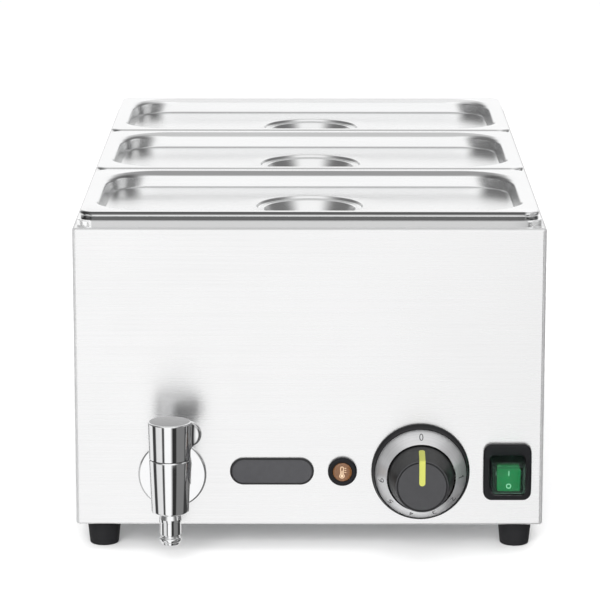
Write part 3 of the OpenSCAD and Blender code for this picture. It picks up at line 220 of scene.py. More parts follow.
@dataclass
class Shell:
    """Closed surfaces gathered into one mesh.

    Args:
        name: Name of the mesh and its object.
        points: Points of each surface.
        faces: Faces of all surfaces.
        tones: Share of darkening of each surface's points.
        count: Number of points so far.
    """

    name: str
    points: list[Array] = field(default_factory=list)
    faces: list[list[int]] = field(default_factory=list)
    tones: list[Array] = field(default_factory=list)
    count: int = 0

    def add(self, rings: Array, place: Mapper, wrap: bool = False, tone: Array | None = None) -> "Shell":
        """Adds a surface through closed rings, with a pole at each end, or joined end to end.

        Args:
            rings: Array of shape (rings, points, 3).
            place: Mapping from local to frame coordinates.
            wrap: Joins the last ring to the first one instead of closing both with poles.
            tone: Share of darkening of each ring or of each point, none without it.

        Returns:
            This shell.
        """
        rings = place(rings)
        m, n = rings.shape[:2]
        index = np.arange(m * n).reshape(m, n)
        low, high = (index, np.roll(index, -1, 0)) if wrap else (index[:-1], index[1:])
        quads = np.stack([low, np.roll(low, -1, 1), np.roll(high, -1, 1), high], axis=-1).reshape(-1, 4)
        verts = rings.reshape(-1, 3)
        shade = np.zeros((m, 1)) if tone is None else tone.reshape(m, -1)
        shade = np.broadcast_to(shade, (m, n)).ravel()
        tris = np.zeros((0, 3), int)
        if not wrap:
            verts = np.vstack([verts, rings[0].mean(0), rings[-1].mean(0)])
            shade = np.concatenate([shade, shade[[0, -1]]])
            first, last = index[0], index[-1]
            tris = np.vstack([
                np.column_stack([np.full(n, m * n), np.roll(first, -1), first]),
                np.column_stack([np.full(n, m * n + 1), last, np.roll(last, -1)])])
        split = np.vstack([quads[:, [0, 1, 2]], quads[:, [0, 2, 3]], tris])
        middle = verts.mean(0)
        a, b, c = (verts[split[:, k]] - middle for k in range(3))
        if np.einsum("ij,ij->i", np.cross(a, b), c).sum() < 0:
            quads, tris = quads[:, ::-1], tris[:, ::-1]
        self.points.append(verts)
        self.tones.append(shade)
        self.faces += (quads + self.count).tolist() + (tris + self.count).tolist()
        self.count += len(verts)
        return self

    def build(self, look: "Finishes | Marks", *stands_for: str,
              body: str = Body.CASING.value) -> bpy.types.Object:
        """Makes the object, gives it its finish and lets it ride on a body.

        Args:
            look: Member of Finishes or Marks for the whole piece.
            *stands_for: Nodes of the frame that it replaces.
            body: Name of the body that carries it.

        Returns:
            The new object.
        """
        finish: Finish = look.value
        mesh = bpy.data.meshes.new(self.name)
        mesh.from_pydata((np.vstack(self.points) * MM).tolist(), [], self.faces)
        mesh.polygons.foreach_set("use_smooth", np.ones(len(mesh.polygons), bool))
        mesh.set_sharp_from_angle(angle=SHARP_EDGE)
        tone = mesh.attributes.new("tone", "FLOAT", "POINT")
        tone.data.foreach_set("value", np.concatenate(self.tones))
        mesh.materials.append(finish.material())
        piece = bpy.data.objects.new(self.name, mesh)
        bpy.context.scene.collection.objects.link(piece)
        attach(piece, body)
        if stands_for:
            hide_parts(*stands_for)
        log.info("%s: %d faces on %s", self.name, len(self.faces), body)
        return piece


# Finishes


class Graph:
    """Short-hand for building one node tree."""

    def __init__(self, tree: bpy.types.NodeTree) -> None:
        """Starts on an empty tree."""
        self.tree = tree
        tree.nodes.clear()

    def node(self, kind: str, settings: dict[str, object] | None = None, **inputs: object) -> bpy.types.Node:
        """Adds a node, sets its properties and sets or links its inputs.

        Args:
            kind: Blender's name for the node type, without the leading ShaderNode.
            settings: Properties of the node.
            **inputs: Input sockets by name with _ for a space, or by index as i0, i1 and so on.

        Returns:
            The new node.
        """
        made = self.tree.nodes.new(f"ShaderNode{kind}")
        for key, value in (settings or {}).items():
            setattr(made, key, value)
        for key, value in inputs.items():
            numbered = key[0] == "i" and key[1:].isdigit()
            socket = made.inputs[int(key[1:])] if numbered else made.inputs[key.replace("_", " ")]
            if isinstance(value, Socket):
                self.tree.links.new(value, socket)
            else:
                socket.default_value = value
        return made

    def math(self, operation: str, a: object, b: object = 0.0) -> Socket:
        """Adds a math node and gives its result."""
        return self.node("Math", {"operation": operation}, i0=a, i1=b).outputs[0]

    def times(self, a: object, b: object) -> Socket:
        """Product of two values."""
        return self.math("MULTIPLY", a, b)

    def axes(self, vector: Socket) -> list[Socket]:
        """The x, y and z parts of a vector."""
        return list(self.node("SeparateXYZ", Vector=vector).outputs)

    def spread(self, value: Socket, low: float, high: float, start: float = 0.25, end: float = 0.75) -> Socket:
        """Maps a value from start..end to low..high with soft ends."""
        return self.node("MapRange", {"interpolation_type": "SMOOTHSTEP"}, Value=value, From_Min=start,
                         From_Max=end, To_Min=low, To_Max=high).outputs[0]

    def noise(self, scale: Triple, detail: float = 4.0) -> Socket:
        """Noise over the object's coordinates, stretched by a scale along each axis."""
        place = self.node("TexCoord").outputs["Object"]
        fitted = self.node("Mapping", Vector=place, Scale=scale).outputs[0]
        return self.node("TexNoise", Vector=fitted, Scale=1.0, Detail=detail, Roughness=0.6).outputs["Fac"]

    def relief(self, height: Socket, depth: float, strength: float) -> Socket:
        """Normals of a fine relief of a depth in mm."""
        return self.node("Bump", Strength=strength, Distance=depth * MM, Height=height).outputs[0]

    def mix(self, share: Socket, low: object, high: object) -> Socket:
        """Mixes two numbers by a share."""
        return self.node("Mix", {"data_type": "FLOAT"}, i0=share, i2=low, i3=high).outputs[0]

    def tint(self, share: Socket, dark: Triple | Socket, light: Triple) -> Socket:
        """Mixes two colours by a share."""
        first = dark if isinstance(dark, Socket) else (*dark, 1.0)
        return self.node("Mix", {"data_type": "RGBA"}, i0=share, i6=first, i7=(*light, 1.0)).outputs[2]


# Shares of x in the normals of the casing's sides and of its folds, and how matt folds are beside sides.
FLANK_SPAN = (0.85, 0.98)
FOLD_SPAN = (0.08, 0.3)
FOLD_SHARE = 0.2
QUARTER_TURN = 0.25


@dataclass(frozen=True)
class Finish:
    """A surface with a grain, a slow change of colour and a fine relief.

    Args:
        slot: Material slot of the record, or the name of a mark.
        colour: Mean colour.
        rough: Lowest and highest roughness.
        metal: Share of metal.
        grain: Direction and fineness of the grain.
        relief: Depth of the relief in mm.
        vary: Share by which the colour varies.
        coat: Weight of a clear coat.
        tone_darkening: Share by which a full tone darkens the colour, as painted shade and painted
            reflections; a tone below 0 makes metal matt.
        gloss: Strength of the reflection of a plastic.
        fold: Roughness added on folded edges between the front and the sides.
        flank: Share of the metal that the casing's sides lose to a matt surface; its folds lose a part of it.
        brushed: Share by which reflections are drawn out across a level grain.
        slotted: Whether the record has the slot; not used.
    """

    slot: str
    colour: Triple
    rough: Span = (0.4, 0.5)
    metal: float = 0.0
    grain: Grain = Grain.FINE
    relief: float = 0.02
    vary: float = 0.06
    coat: float = 0.0
    tone_darkening: float = 0.0
    gloss: float = 0.5
    fold: float = 0.0
    flank: float = 0.0
    brushed: float = 0.0
    slotted: bool = True

    def varied(self, way: int) -> Triple:
        """The colour at its darkest (way -1) or lightest (way 1)."""
        return tuple(min(1.0, c * (1 + way * self.vary)) for c in self.colour)

    def shade(self, graph: Graph) -> bpy.types.Node:
        """Builds the shader: noise drives colour, roughness and relief.

        Args:
            graph: Node tree of the material.

        Returns:
            The surface shader.
        """
        grain = graph.noise(self.grain.value)
        cloud = graph.noise(Grain.CLOUD.value, 3.0)
        mixed = graph.times(graph.math("ADD", grain, cloud), 0.5)
        colour = graph.tint(graph.spread(mixed, 0, 1), self.varied(-1), self.varied(1))
        rough = graph.spread(mixed, *self.rough)
        brushed, metal = self.brushed, self.metal
        # Painted shade and painted reflections: the tone attribute darkens the colour towards black on pans,
        # lids, the tap's handle and the knob, and gives the badge a darker rim. A tone below 0 makes metal
        # partly matt, which lightens pan and lid corners.
        if self.tone_darkening:
            tone = graph.node("Attribute", {"attribute_name": "tone"}).outputs["Fac"]
            colour = graph.tint(graph.times(tone, self.tone_darkening), colour, (0.0, 0.0, 0.0))
            metal = graph.times(graph.spread(tone, 0, 1, -1, 0), self.metal)
        if self.fold:
            facing = graph.node("NewGeometry").outputs["Normal"]
            side = graph.math("ABSOLUTE", graph.axes(facing)[0])
            flank = graph.spread(side, 0, 1, *FLANK_SPAN)
            edge = graph.times(graph.spread(side, 0, 1, *FOLD_SPAN), graph.math("SUBTRACT", 1.0, flank))
            matt = graph.math("ADD", flank, graph.times(edge, FOLD_SHARE))
            metal = graph.math("SUBTRACT", self.metal, graph.times(matt, self.flank))
            rough = graph.math("ADD", rough, graph.times(edge, self.fold))
            brushed = graph.times(graph.math("SUBTRACT", 1.0, edge), self.brushed)
        return graph.node(
            "BsdfPrincipled", Base_Color=colour, Metallic=metal, Roughness=rough,
            Specular_IOR_Level=self.gloss, Coat_Weight=self.coat, Coat_Roughness=0.1,
            Normal=graph.relief(grain, self.relief, 0.6), Anisotropic=brushed,
            Anisotropic_Rotation=QUARTER_TURN)

    def material(self) -> bpy.types.Material:
        """The finish's material, made once.

        Returns:
            The shared material.
        """
        name = f"{self.slot}_{type(self).__name__.lower()}"
        known = bpy.data.materials.get(name)
        if known:
            return known
        made = bpy.data.materials.new(name)
        made.use_nodes = True
        graph = Graph(made.node_tree)
        graph.node("OutputMaterial", Surface=self.shade(graph).outputs[0])
        return made


@dataclass(frozen=True)
class Spun(Finish):
    """Metal with fine circles round an axis that points out of the front panel.

    Args:
        axis: Place of the axis on the panel.
        pitch: Circles per metre.
    """

    axis: Span = (DIAL_X, CONTROLS_Z)
    pitch: float = 2500.0

    def shade(self, graph: Graph) -> bpy.types.Node:
        """Builds the shader: noise over the distance from the axis drives the fine circles.

        Args:
            graph: Node tree of the material.

        Returns:
            The surface shader.
        """
        x, _, z = graph.axes(graph.node("TexCoord").outputs["Object"])
        x, z = (graph.math("SUBTRACT", part, at * MM) for part, at in zip((x, z), self.axis))
        reach = graph.math("SQRT", graph.math("ADD", graph.times(x, x), graph.times(z, z)))
        line = graph.node("TexNoise", {"noise_dimensions": "1D"}, W=reach, Scale=self.pitch, Detail=3.0)
        line = line.outputs["Fac"]
        tangent = graph.node("Tangent", {"direction_type": "RADIAL", "axis": "Y"}).outputs[0]
        return graph.node(
            "BsdfPrincipled", Base_Color=graph.tint(graph.spread(line, 0, 1), self.varied(-1), self.colour),
            Metallic=self.metal, Roughness=graph.spread(line, *self.rough), Tangent=tangent,
            Normal=graph.relief(line, self.relief, 0.5), Anisotropic=self.brushed,
            Anisotropic_Rotation=QUARTER_TURN)


@dataclass(frozen=True)
class Clear(Finish):
    """See-through plastic.

    Args:
        clear: Share of light that passes through.
        glow: Strength of the light that it gives off.
        bend: Index of refraction.
    """

    clear: float = 1.0
    glow: float = 0.0
    bend: float = 1.45

    def shade(self, graph: Graph) -> bpy.types.Node:
        """Builds the shader: a tinted plastic that lets light through, with a faint haze.

        Args:
            graph: Node tree of the material.

        Returns:
            The surface shader.
        """
        haze = graph.noise(Grain.COARSE.value)
        colour = graph.tint(graph.spread(haze, 0, 1), self.varied(-1), self.colour)
        return graph.node(
            "BsdfPrincipled", Base_Color=colour, Roughness=graph.spread(haze, *self.rough),
            Transmission_Weight=self.clear, IOR=self.bend, Emission_Color=colour,
            Emission_Strength=self.glow, Coat_Weight=self.coat, Coat_Roughness=0.05)


class Finishes(Enum):
    """Every finish of the object, by the record's material slots."""

    CASING = Finish("casing_steel", (0.95, 0.95, 0.953), (0.22, 0.31), 1.0, Grain.LEVEL, 0.012, 0.05,
                    fold=0.45, flank=0.3, brushed=0.5)
    INNER = Finish("inner_steel", (0.6, 0.61, 0.62), (0.35, 0.5), 1.0, Grain.ALONG_X, 0.01)
    PAN = Finish("pan_steel", (0.94, 0.943, 0.946), (0.16, 0.24), 1.0, Grain.ALONG_X, 0.004, 0.03,
                 tone_darkening=0.85)
    CHROME = Finish("tap_chrome", (0.96, 0.963, 0.97), (0.04, 0.1), 1.0, Grain.COARSE, 0.003, 0.03,
                    tone_darkening=0.7)
    BRASS = Finish("tap_brass", (0.69, 0.52, 0.28), (0.25, 0.4), 1.0, relief=0.01)
    ZINC = Finish("zinc", (0.66, 0.67, 0.7), (0.25, 0.4), 1.0, relief=0.01)
    RUBBER = Finish("black_rubber", (0.011, 0.011, 0.012), (0.55, 0.75), relief=0.05, vary=0.2, gloss=0.2)
    BLACK = Finish("black_plastic", (0.006, 0.006, 0.007), (0.3, 0.42), relief=0.015, vary=0.15, gloss=0.2)
    KNOB = Finish("knob_plastic", (0.024, 0.024, 0.026), (0.36, 0.48), relief=0.03, vary=0.15, coat=0.2,
                  tone_darkening=0.85, gloss=0.45)
    POINTER = Finish("pointer_yellow", (0.3, 0.31, 0.06), (0.35, 0.45), relief=0.01)
    BADGE = Finish("badge_grey", (0.036, 0.036, 0.039), (0.3, 0.42), relief=0.015, vary=0.12, coat=0.1,
                   tone_darkening=0.8, gloss=0.35)
    AMBER = Clear("lens_amber", (0.17, 0.07, 0.022), (0.1, 0.2), vary=0.2, clear=0.35, glow=0.06, bend=1.7)
    SILVER = Spun("dial_silver", (0.9, 0.9, 0.91), (0.32, 0.42), 0.85, relief=0.006, vary=0.1, brushed=0.7)
    CAP = Clear("cap_clear", (0.4, 0.66, 0.53), (0.04, 0.1), vary=0.04, coat=0.35, bend=1.06)
    GREEN = Clear("rocker_green", (0.004, 0.24, 0.085), (0.15, 0.25), vary=0.1, clear=0.1, glow=0.06)
    MOULDED = Finish("insulation", (0.8, 0.77, 0.68), (0.4, 0.55), vary=0.05)
    HOSE = Finish("hose_silicone", (0.68, 0.65, 0.6), (0.5, 0.65), relief=0.03)
    ELEMENT = Finish("element_sheath", (0.3, 0.28, 0.26), (0.45, 0.65), 1.0, Grain.COARSE, vary=0.25)
    COPPER = Finish("copper", (0.75, 0.38, 0.2), (0.25, 0.4), 1.0, relief=0.01, vary=0.1)
    BROWN = Finish("lead_brown", (0.12, 0.045, 0.02), vary=0.1)
    BLUE = Finish("lead_blue", (0.02, 0.1, 0.36), vary=0.1)
    EARTH = Finish("lead_green", (0.24, 0.42, 0.04), vary=0.1)


class Marks(Enum):
    """Finishes with no slot of their own: printed or inlaid marks, and the floor."""

    INK = Finish("ink", (0.03, 0.03, 0.032), slotted=False)
    PALE = Finish("pale_mark", (0.75, 0.9, 0.8), slotted=False)
    SYMBOL = Finish("lens_symbol", (0.5, 0.36, 0.24), slotted=False)
    FLOOR = Finish("floor", (0.96, 0.96, 0.96), (0.7, 0.8), relief=0.0, vary=0.01, slotted=False)


# Pressed sheet


@dataclass(frozen=True)
class Pressing:
    """Sheet with a rolled edge, a flat flange and a well with a sloping wall.

    Args:
        width: Outside size in x.
        length: Outside size in y.
        corner: Radius of the outside corners.
        flange: Width of the flange.
        well_corner: Corner radius of the well.
        lip: Radius from the flange into the well.
        draft: Slope of the wall in degrees.
        depth: Depth of the well.
        floor: Radius from the wall into the floor.
        sheet: Thickness of the sheet.
        edge: Radius of the outside edge.
        roll: Lowest angle of the outside edge in degrees.
        edge_steps: Steps round the outside edge.
        corner_fade: Run in x and in y over which a tone of the corners grows.
    """

    width: float
    length: float
    corner: float
    flange: float
    well_corner: float
    lip: float
    draft: float
    depth: float
    floor: float
    sheet: float = 0.8
    edge: float = 1.2
    roll: float = 0.0
    edge_steps: int = 12
    corner_fade: Span = (2.0, 3.0)

    @property
    def outline(self) -> Triple:
        """Half width, half length and corner radius of the outside edge."""
        return self.width / 2, self.length / 2, self.corner

    def top(self) -> Array:
        """Upper side from the outside edge to the foot of the wall: lip arc, wall and floor arc.

        Returns:
            Rows of half width, half length, corner radius and height.
        """
        x, y, _ = self.outline
        rolled = arc((-self.edge, -self.edge), self.edge, self.roll, 90, self.edge_steps)
        lean = math.radians(self.draft)
        wall_x = self.lip * (1 - math.cos(lean))
        wall_z = -self.lip * (1 - math.sin(lean))
        low_z = self.sheet + self.floor - self.depth
        run = (wall_z + self.floor * math.sin(lean) - low_z) / math.cos(lean)
        low_x = wall_x - run * math.sin(lean) - self.floor * math.cos(lean)
        inner = path(arc((self.lip, -self.lip), self.lip, 90, 180 - self.draft, 8),
                     arc((low_x, low_z), self.floor, -self.draft, -90, 10))
        return np.vstack([loops(rolled, *self.outline),
                          loops(inner, x - self.flange, y - self.flange, self.well_corner)])

    def skirt(self, height: float, inset: int = 0) -> Array:
        """Rows of a rim below the edge, some sheets inside it: its inner top, inner foot and outer foot."""
        inner, outer = -(inset + 1) * self.sheet, -inset * self.sheet
        return loops(path([inner, -self.sheet], [inner, -height], [outer, -height]), *self.outline)

    def at_corner(self, ring: Array) -> Array:
        """How far the points of an outside loop lie in its rounded corners, from 0 to 1."""
        inside = np.abs(ring[:, :2]) - np.array([self.width, self.length]) / 2 + self.corner
        return np.clip(inside / self.corner_fade, 0, 1).prod(axis=1)

    def below(self, rows: Array) -> Array:
        """The same rows moved by the sheet's thickness along the normal of the section.

        Args:
            rows: Rows of half width, half length, corner radius and height.

        Returns:
            Rows of the lower side, in the same order.
        """
        step = np.diff(rows[:, [1, 3]], axis=0)
        step /= np.linalg.norm(step, axis=1, keepdims=True) + 1e-9
        mean = unit(np.vstack([step[:1], step[:-1] + step[1:], step[-1:]]))
        out = -mean[:, 1] * self.sheet
        down = mean[:, 0] * self.sheet
        radius = np.maximum(rows[:, 2] + out, 0.3)
        return np.column_stack([rows[:, 0] + out, rows[:, 1] + out, radius, rows[:, 3] + down])


@dataclass
class FoodPan:
    """Food pan with a turned-down rim.

    Args:
        place: Position of the pan.
        top_z: Height of the flange.
        rim: Height of the rim.
        rim_painted_shade: Painted shade on the rim, and how much of it the corners lose, which leaves them
            partly matt and lighter.
        press: Sizes of the sheet.
        grid: Numbering of its loops.
    """

    place: Place
    top_z: float = 237.9
    rim: float = 5.0
    rim_painted_shade: Span = (0.35, 0.65)
    press: Pressing = Pressing(width=325, length=176, corner=11.5, flange=12.5, well_corner=30, lip=4,
                               draft=2, depth=150, floor=16)
    grid: LoopGrid = LoopGrid(10, 24, 14)

    def build(self) -> bpy.types.Object:
        """One surface from the middle underneath, round the rim and down to the floor inside.

        Returns:
            The pan.
        """
        press, name = self.press, self.place.value
        upper = press.top()
        lower = press.below(upper[press.edge_steps:])
        rim = press.skirt(self.rim)
        share = np.linspace(0.8, 0.05, 6)
        under, floor = (shrunk(rows[-1], share, rows[-1, 3]) for rows in (lower, upper))
        rings = self.grid.rings(np.vstack([under[::-1], lower[::-1][:-1], rim, upper, floor]))
        tone = np.zeros(rings.shape[:2])
        first = len(under) + len(lower)
        # Painted shade on the turned-down rim and its rolled edge; the corners lose more than all of it and
        # turn partly matt, which lightens them.
        full, lost = self.rim_painted_shade
        tone[first:first + len(rim) + press.edge_steps - 2] = full - lost * press.at_corner(rings[first])
        shell = Shell(f"{name}_pan_shell")
        shell.add(rings, upright(0, self.place.depth, self.top_z), tone=tone)
        return shell.build(Finishes.PAN, f"pan_{name}", body=f"{name}_pan")


# Painted shade of each lid: a dark painted reflection on its outside edge, and painted bands at its well's
# bend and foot at the back; a bend below 0 turns partly matt and lighter.
LID_PAINTED_SHADE = {
    Place.FRONT: (1.0, 0.5, 0.1),
    Place.MIDDLE: (0.15, 0.0, 0.4),
    Place.REAR: (0.15, -0.3, 0.5),
}


@dataclass
class Lid:
    """Lid with a pressed well, a stepped round finger recess and a strap across it.

    Args:
        place: Position of the lid.
        top_z: Height of the flange.
        hem: Height of the inner hem that stands on the pan.
        recess_r: Radius of the recess.
        step: Depth of the recess's ledge.
        bowl_r: Radius of the bowl at its ledge.
        bowl: Depth of the bowl below the ledge.
        bowl_floor: Radius from the bowl's wall into its floor.
        slope: Slope of the recess's walls in degrees.
        rounds: Radii of the recess's edge, of its ledge's hollow and of the bowl's edge.
        strap: Half length, half width, corner radius and thickness of the strap.
        strap_edge: Radius of the strap's upper edge.
        strap_drop: Depth of the strap below the well's floor.
        flare: Radius that the well's corners gain from foot to top.
        fades: Distance from the middle where the painted shade of edge, bend and foot starts, and its run.
        edge_span: Angle where the painted reflection on the edge starts and its run, upwards and then
            downwards, in degrees.
        corner_tone: Tone of the right front corner, below 0 so that it turns partly matt and lighter.
        press: Sizes of the sheet.
        grid: Numbering of its loops.
    """

    place: Place
    top_z: float = 243.3
    hem: float = 5.4
    recess_r: float = 38.5
    step: float = 2.2
    bowl_r: float = 33.0
    bowl: float = 13.0
    bowl_floor: float = 6.0
    slope: float = 25.0
    rounds: Triple = (0.9, 0.6, 0.7)
    strap: tuple[float, float, float, float] = (30.2, 8.5, 3.0, 1.5)
    strap_edge: float = 0.5
    strap_drop: float = 7.4
    flare: float = 7.0
    fades: tuple[Span, Span, Span] = ((74.0, 8.0), (60.0, 12.0), (55.0, 8.0))
    edge_span: tuple[Span, Span] = ((-15.0, 25.0), (-92.0, 20.0))
    corner_tone: float = -0.2
    press: Pressing = Pressing(width=321, length=172, corner=11, flange=12, well_corner=30, lip=6, draft=14,
                               depth=12, floor=1.4, edge=1.9, roll=-54.6)
    grid: LoopGrid = LoopGrid(12, 56, 26)

    def bend(self, radius: float, top: float, level: float, edge: float, steps: int) -> Array:
        """Arc that touches the recess's sloping wall and a level surface at its upper or lower end.

        Args:
            radius: Radius of the wall's upper end.
            top: Height of the wall's upper end.
            level: Height of the level surface, top for a rounded edge and less for a hollow.
            edge: Radius of the arc.
            steps: Number of equal steps.

        Returns:
            Points of (radius, height).
        """
        lean, out = math.radians(self.slope), 1 if level == top else -1
        drop = top - level + out * edge * (1 - math.sin(lean))
        middle = radius - drop * math.tan(lean) + out * edge * math.cos(lean)
        start, end = (90, 180 - self.slope) if out > 0 else (-self.slope, -90)
        return arc((middle, level - out * edge), edge, start, end, steps)

    def recess(self) -> Array:
        """Section of the recess, with height 0 at the well's floor: ledge, and a bowl with a flat floor."""
        wide, deep, ledge, floor = self.recess_r, self.bowl_r, -self.step, -self.step - self.bowl
        return path(self.bend(wide, 0, 0, self.rounds[0], 6), self.bend(wide, 0, ledge, self.rounds[1], 4),
                    self.bend(deep, ledge, ledge, self.rounds[2], 5),
                    self.bend(deep, ledge, floor, self.bowl_floor, 10), [10.0, floor])

    def tones(self, rings: Array, first: int, end: int) -> Array:
        """Painted shadow under the rolled edge, painted reflections on the front edge and at the well's bend
        and foot at the back, and a matt right front corner.

        Args:
            rings: Rings of the lid.
            first: Number of the lowest ring of the rolled edge.
            end: Number of the first ring past the foot of the well's wall.

        Returns:
            Tone of each point.
        """
        edge, bend, foot = LID_PAINTED_SHADE[self.place]
        edge_fade, bend_fade, foot_fade = self.fades
        angle = np.linspace(self.press.roll, 90, self.press.edge_steps + 1)
        rise, fall = self.edge_span
        dark = edge * np.minimum(fade(angle, *rise), fade(-angle, *fall))
        dark[0] = 1.0
        last = first + len(dark)
        lip, toe = slice(last + 1, last + 7), slice(end - 3, end)
        outline = rings[first]
        front = fade(-outline[:, 1], *edge_fade)
        right = self.press.at_corner(outline) * front * (outline[:, 0] > 0)
        tone = np.zeros(rings.shape[:2])
        # Painted shadow in the gap under the rolled edge, all round.
        tone[first - 1] = 1.0
        # Painted reflection along the front edge; the right front corner turns partly matt and lighter.
        tone[first:last] = dark[:, None] * front * (1 - right) + self.corner_tone * right
        # Painted bands at the well's bend and foot at the back.
        tone[lip] = bend * fade(rings[last, :, 1], *bend_fade)
        tone[toe] = foot * fade(rings[end - 1, :, 1], *foot_fade)
        return tone

    def build(self) -> bpy.types.Object:
        """One surface from the middle underneath, round the hem and down to the middle of the bowl.

        Returns:
            The lid.
        """
        press, grid, name = self.press, self.grid, self.place.value
        upper = press.top()
        well = upper[press.edge_steps + 1:]
        well[:, 2] += self.flare * (1 - well[:, 3] / well[-1, 3])
        lower = press.below(upper[press.edge_steps:])
        hem = press.skirt(self.hem, 1)
        outside = grid.rings(np.vstack([lower[::-1][:-1], hem, upper]))
        bowl, level = self.recess(), [0, upper[-1, 3]]
        inner = grid.round_rings(bowl + level, outside[-1])
        under = grid.round_rings((bowl - [0, press.sheet])[::-1] + level, outside[-1])
        share = np.linspace(0, 1, 8)[1:-1, None, None]
        floor = (1 - share) * outside[-1] + share * inner[0]
        floor_under = (1 - share) * under[-1] + share * outside[0]
        rings = np.concatenate([under, floor_under, outside, floor, inner])
        start = len(under) + len(floor_under)
        tone = self.tones(rings, start + len(lower) - 1 + len(hem), start + len(outside))
        shell = Shell(f"{name}_lid_shell")
        shell.add(rings, upright(0, self.place.depth, self.top_z), tone=tone)
        return shell.build(Finishes.PAN, f"lid_{name}", body=f"{name}_lid")

    def dress(self) -> bpy.types.Object:
        """Builds the strap across the recess, with rounded edges.

        Returns:
            The strap.
        """
        name = self.place.value
        length, width, corner, thick = self.strap
        r = self.strap_edge
        edge = path([-r - 0.1, 0.0], arc((-r, thick - r), r, 0, 90, 4))
        z = self.top_z + self.press.sheet - self.press.depth - self.strap_drop - thick
        rings = LoopGrid(5, 8, 4).rings(loops(edge, length, width, corner))
        shell = Shell(f"{name}_lid_strap").add(rings, upright(0, self.place.depth, z))
        return shell.build(Finishes.PAN, f"lid_handle_{name}", body=f"{name}_lid")


# Drain tap


